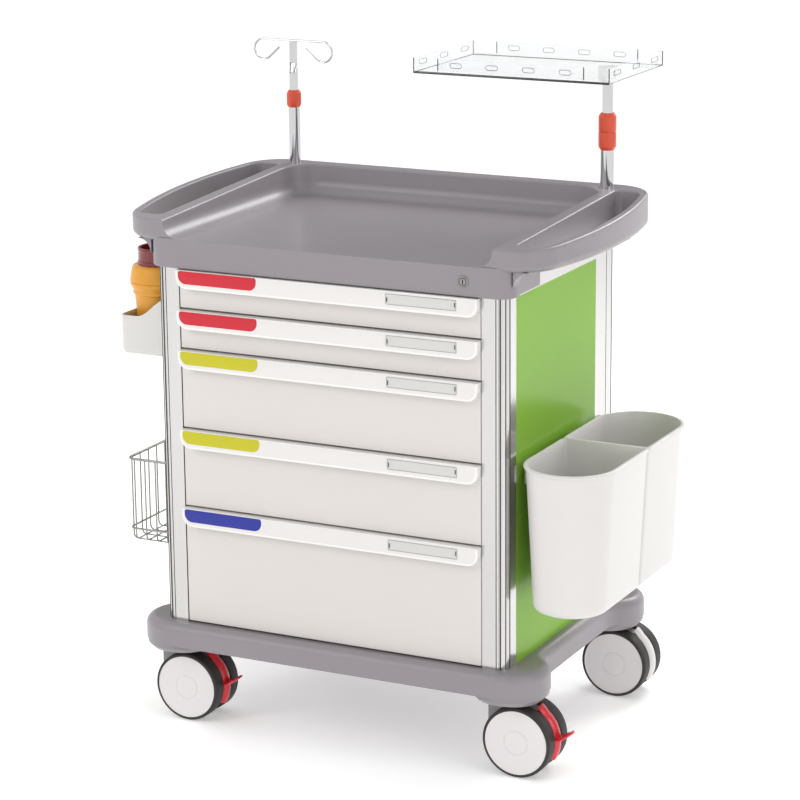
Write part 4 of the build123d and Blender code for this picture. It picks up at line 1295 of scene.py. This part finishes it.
# --- Left side ---
@dataclass
class SharpsStation:
    """Holder, container and cap on the left side.

    Args:
        low_rim: Holder's rim height at its outer side.
        slope: Where the rim starts and stops climbing, from the cabinet's side.
        wall: Holder's wall thickness.
        corner: Radius of the holder's outer corners.
        foot: Radius round the holder's foot.
    """

    low_rim: float = 0.07
    slope: tuple[float, float] = (0.084, 0.022)
    wall: float = 0.003
    corner: float = 0.014
    foot: float = 0.009

    def holder(self) -> None:
        """Open box whose rim climbs to the cabinet.

        Each ring of the outline stands at a share of the rim's height, and that height eases
        from the low rim to the full one as x nears the cabinet.
        """
        low, high = box("sharps_holder")
        width, depth, tall = high - low
        centre = (low + high) / 2
        bend = np.linspace(0, pi / 2, 6)
        foot_in, foot_up = self.foot * (1 - np.sin(bend)), self.foot * (1 - np.cos(bend))
        rise = np.linspace(0.16, 0.98, 10)
        inset = np.concatenate([foot_in, 0 * rise, [0.0004, self.wall / 2, self.wall - 0.0004],
                                self.wall + 0 * rise, self.wall + foot_in[::-1]])
        share = np.concatenate([foot_up / tall, rise, [0.997, 1.0, 0.997], rise[::-1],
                                (self.wall + foot_up[::-1]) / tall])
        outline = rounded(width, depth, (0.002, self.corner, self.corner, 0.002), 10)
        along = np.roll(outline, -1, axis=0) - np.roll(outline, 1, axis=0)
        along /= np.linalg.norm(along, axis=1, keepdims=True)
        normal = np.column_stack([along[:, 1], -along[:, 0]])
        steps = np.linspace(0, 1, 12, endpoint=False)[:, None, None]
        # Points between the corners let the long walls follow the climbing rim.
        dense = (outline + steps * (np.roll(outline, -1, axis=0) - outline))
        outline = dense.transpose(1, 0, 2).reshape(-1, 2)
        normal = np.repeat(normal, 12, axis=0)
        flat = outline - normal * inset[:, None, None] + centre[:2]
        out = high[0] - flat[..., 0]
        rim = self.low_rim + (tall - self.low_rim) * smooth(-out, -self.slope[0], -self.slope[1])
        rim = np.where(share[:, None] > 0.15, rim, tall)
        z = low[2] + share[:, None] * rim
        rings = np.concatenate([flat, z[..., None]], axis=-1)
        piece("sharps_holder_tray", [loft(rings)], Slot.BIN_GREY, "frame",
              hides=("sharps_holder",))

    def container(self) -> None:
        """Tapered tub with two ribs under its bulge, a closed profile turned round Z."""
        low, high = box("sharps_container")
        tall, bulge = high[2] - low[2], (high[0] - low[0]) / 2
        centre = ((low[0] + high[0]) / 2, (low[1] + high[1]) / 2, low[2])
        outside = [(0.012, 0.0), (0.035, 0.0), (0.0385, 0.003), (0.0455, 0.64 * tall),
                   (0.0462, 0.655 * tall), (0.0485, 0.665 * tall), (0.0485, 0.685 * tall),
                   (0.0475, 0.7 * tall), (0.0505, 0.74 * tall), (bulge, 0.765 * tall),
                   (bulge, 0.79 * tall), (bulge - 0.0014, 0.8 * tall), (bulge, 0.81 * tall),
                   (bulge - 0.0004, 0.85 * tall), (0.0505, 0.93 * tall), (0.0495, 0.96 * tall),
                   (0.0475, 0.985 * tall), (0.045, 0.996 * tall), (0.0365, tall)]
        inside = [(0.034, tall), (0.034, 0.985 * tall), (0.0465, 0.94 * tall),
                  (0.05, 0.82 * tall), (0.0435, 0.68 * tall), (0.0362, 0.003), (0.012, 0.002)]
        profile = np.array(outside + inside)
        piece("sharps_container_tub", [lathe(profile, centre, "z", 128)],
              Slot.CONTAINER_YELLOW, "sharps_container", hides=("sharps_container",))

    def lid(self) -> None:
        """Ribbed ring with a sunken top and a raised flap across its mouth."""
        low, high = box("sharps_lid")
        tall, radius = high[2] - low[2], (high[0] - low[0]) / 2
        centre = ((low[0] + high[0]) / 2, (low[1] + high[1]) / 2, low[2])
        profile = np.array([
            (radius - 0.003, 0.0), (radius - 0.0006, 0.0), (radius, 0.0008),
            (radius, 0.2 * tall), (radius - 0.0012, 0.25 * tall), (radius - 0.0012, 0.85 * tall),
            (radius - 0.0004, 0.9 * tall), (radius - 0.0008, 0.97 * tall),
            (radius - 0.002, tall), (radius - 0.004, tall), (radius - 0.0052, 0.96 * tall),
            (radius - 0.006, 0.5 * tall), (radius - 0.008, 0.46 * tall), (0.004, 0.46 * tall),
            (0.004, 0.38 * tall), (radius - 0.006, 0.36 * tall), (radius - 0.003, 0.3 * tall)])
        ring = lathe(profile, centre, "z", 128, wrap=True)
        plug_profile = np.array([(0.002, 0.0), (0.0042, 0.0), (0.0042, 0.0026), (0.002, 0.003)])
        plug = lathe(plug_profile, (centre[0], centre[1], low[2] + 0.38 * tall), "z", 32)
        flap = slab(rounded(1.5 * radius, 0.5 * radius, 0.008, 8), 0.0, 0.0035, 0.001, "z",
                    (centre[0], centre[1] - 0.28 * radius, low[2] + 0.47 * tall))
        piece("sharps_lid_cap", [ring, plug, flap], Slot.LID_RED, "sharps_lid",
              hides=("sharps_lid",))

    def build(self) -> None:
        """Holder, container and cap."""
        self.holder()
        self.container()
        self.lid()


@dataclass
class WireBasket:
    """Basket of bent wires on the left side.

    Args:
        rim_wire: Radius of the rim wire.
        frame_wire: Radius of the wire round the bottom.
        cross_wire: Radius of the thin wires.
        corner: Radius of the rim's outer corners.
        side_pitch: Space between the U-shaped wires.
        end_pitch: Space between the upright wires of the ends.
        fold: Radius of the wires' bends at the bottom.
    """

    rim_wire: float = 0.0024
    frame_wire: float = 0.0017
    cross_wire: float = 0.0013
    corner: float = 0.012
    side_pitch: float = 0.0305
    end_pitch: float = 0.023
    fold: float = 0.009

    def build(self) -> None:
        """Rim and bottom loops, U-shaped wires across and two-legged wires along."""
        low, high = box("wire_basket")
        width, length, _ = high - low
        centre = (low + high) / 2
        inner = self.rim_wire
        rim = rounded(width - 2 * inner, length - 2 * inner, self.corner, 8) + centre[:2]
        foot = low[2] + self.frame_wire + 2 * self.cross_wire
        skins = [sweep(raised(rim, high[2] - self.rim_wire), circle(self.rim_wire, 12), wrap=True),
                 sweep(raised(rim, foot + 0.02), circle(self.frame_wire, 10), wrap=True)]
        floor = low[2] + self.cross_wire
        top = high[2] - self.rim_wire

        def bent(start: float, end: float) -> Array:
            """A U: down, round a bend, across, round a bend and up."""
            return np.concatenate([
                np.column_stack([np.full(6, start), np.linspace(top, floor + self.fold, 6)]),
                arc((start + self.fold, floor + self.fold), self.fold, 180, 270, 8)[1:],
                arc((end - self.fold, floor + self.fold), self.fold, 270, 360, 8),
                np.column_stack([np.full(6, end), np.linspace(floor + self.fold, top, 6)])[1:]])

        section = circle(self.cross_wire, 8)
        across = bent(low[0] + inner, high[0] - inner)
        count = round((length - 2 * self.corner) / self.side_pitch)
        for y in np.linspace(low[1] + self.corner + 0.004, high[1] - self.corner - 0.004,
                             count + 1):
            skins.append(sweep(turned(raised(across, 0.0), "y", (0.0, float(y), 0.0)), section,
                               (0.0, 1.0, 0.0)))
        along = bent(low[1] + inner, high[1] - inner)
        count = round((width - 2 * self.corner) / self.end_pitch)
        lift = 2 * self.cross_wire
        for x in np.linspace(low[0] + self.corner + 0.004, high[0] - self.corner - 0.004,
                             count + 1):
            path = turned(raised(along, 0.0), "x", (float(x), 0.0, 0.0))
            path[:, 2] = np.minimum(path[:, 2] + lift, top)
            skins.append(sweep(path, section, (1.0, 0.0, 0.0)))
        piece("basket_wires", skins, Slot.CHROME, "frame", hides=("wire_basket",),
              finish=STEEL_WIRE, crease=60.0)


def dress_nodes() -> None:
    """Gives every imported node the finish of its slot."""
    for row in frame["record"]["subparts"]:
        node = frame["nodes"][row["node"]]
        material = FINISHES[Slot(row["material_slot"])].material()
        if not node.material_slots:
            node.data.materials.append(material)
        for holder in node.material_slots:
            holder.material = material


def main() -> None:
    """Builds the studio and every sub-assembly in turn."""
    logging.basicConfig(level=logging.INFO, format="%(name)s: %(message)s")
    Studio().build()
    dress_nodes()
    Cabinet().build()
    Worktop().build()
    for number, finish in enumerate((TAB_RED, TAB_RED, TAB_YELLOW, TAB_YELLOW, TAB_BLUE), 1):
        DrawerFace(number, finish).build()
    for place in ("front_left", "front_right", "rear_left", "rear_right"):
        Caster(place, place.startswith("front")).build()
    Lock().build()
    polish_tubes()
    InfusionHook().build()
    ShelfEdgeShade().build()
    ClampRing("iv_knob", "iv_knob", (0.003, 0.004)).build()
    ClampRing("shelf_fixed_collar", "frame", (0.004, 0.0008), 24, 0.012).build()
    ClampRing("shelf_turning_collar", "shelf_turning_collar", (0.0008, 0.004), 24, 0.012).build()
    WasteBin("waste_bin_front", -1).build()
    WasteBin("waste_bin_rear", 1).build()
    SharpsStation().build()
    WireBasket().build()


if __name__ == "__main__":
    main()
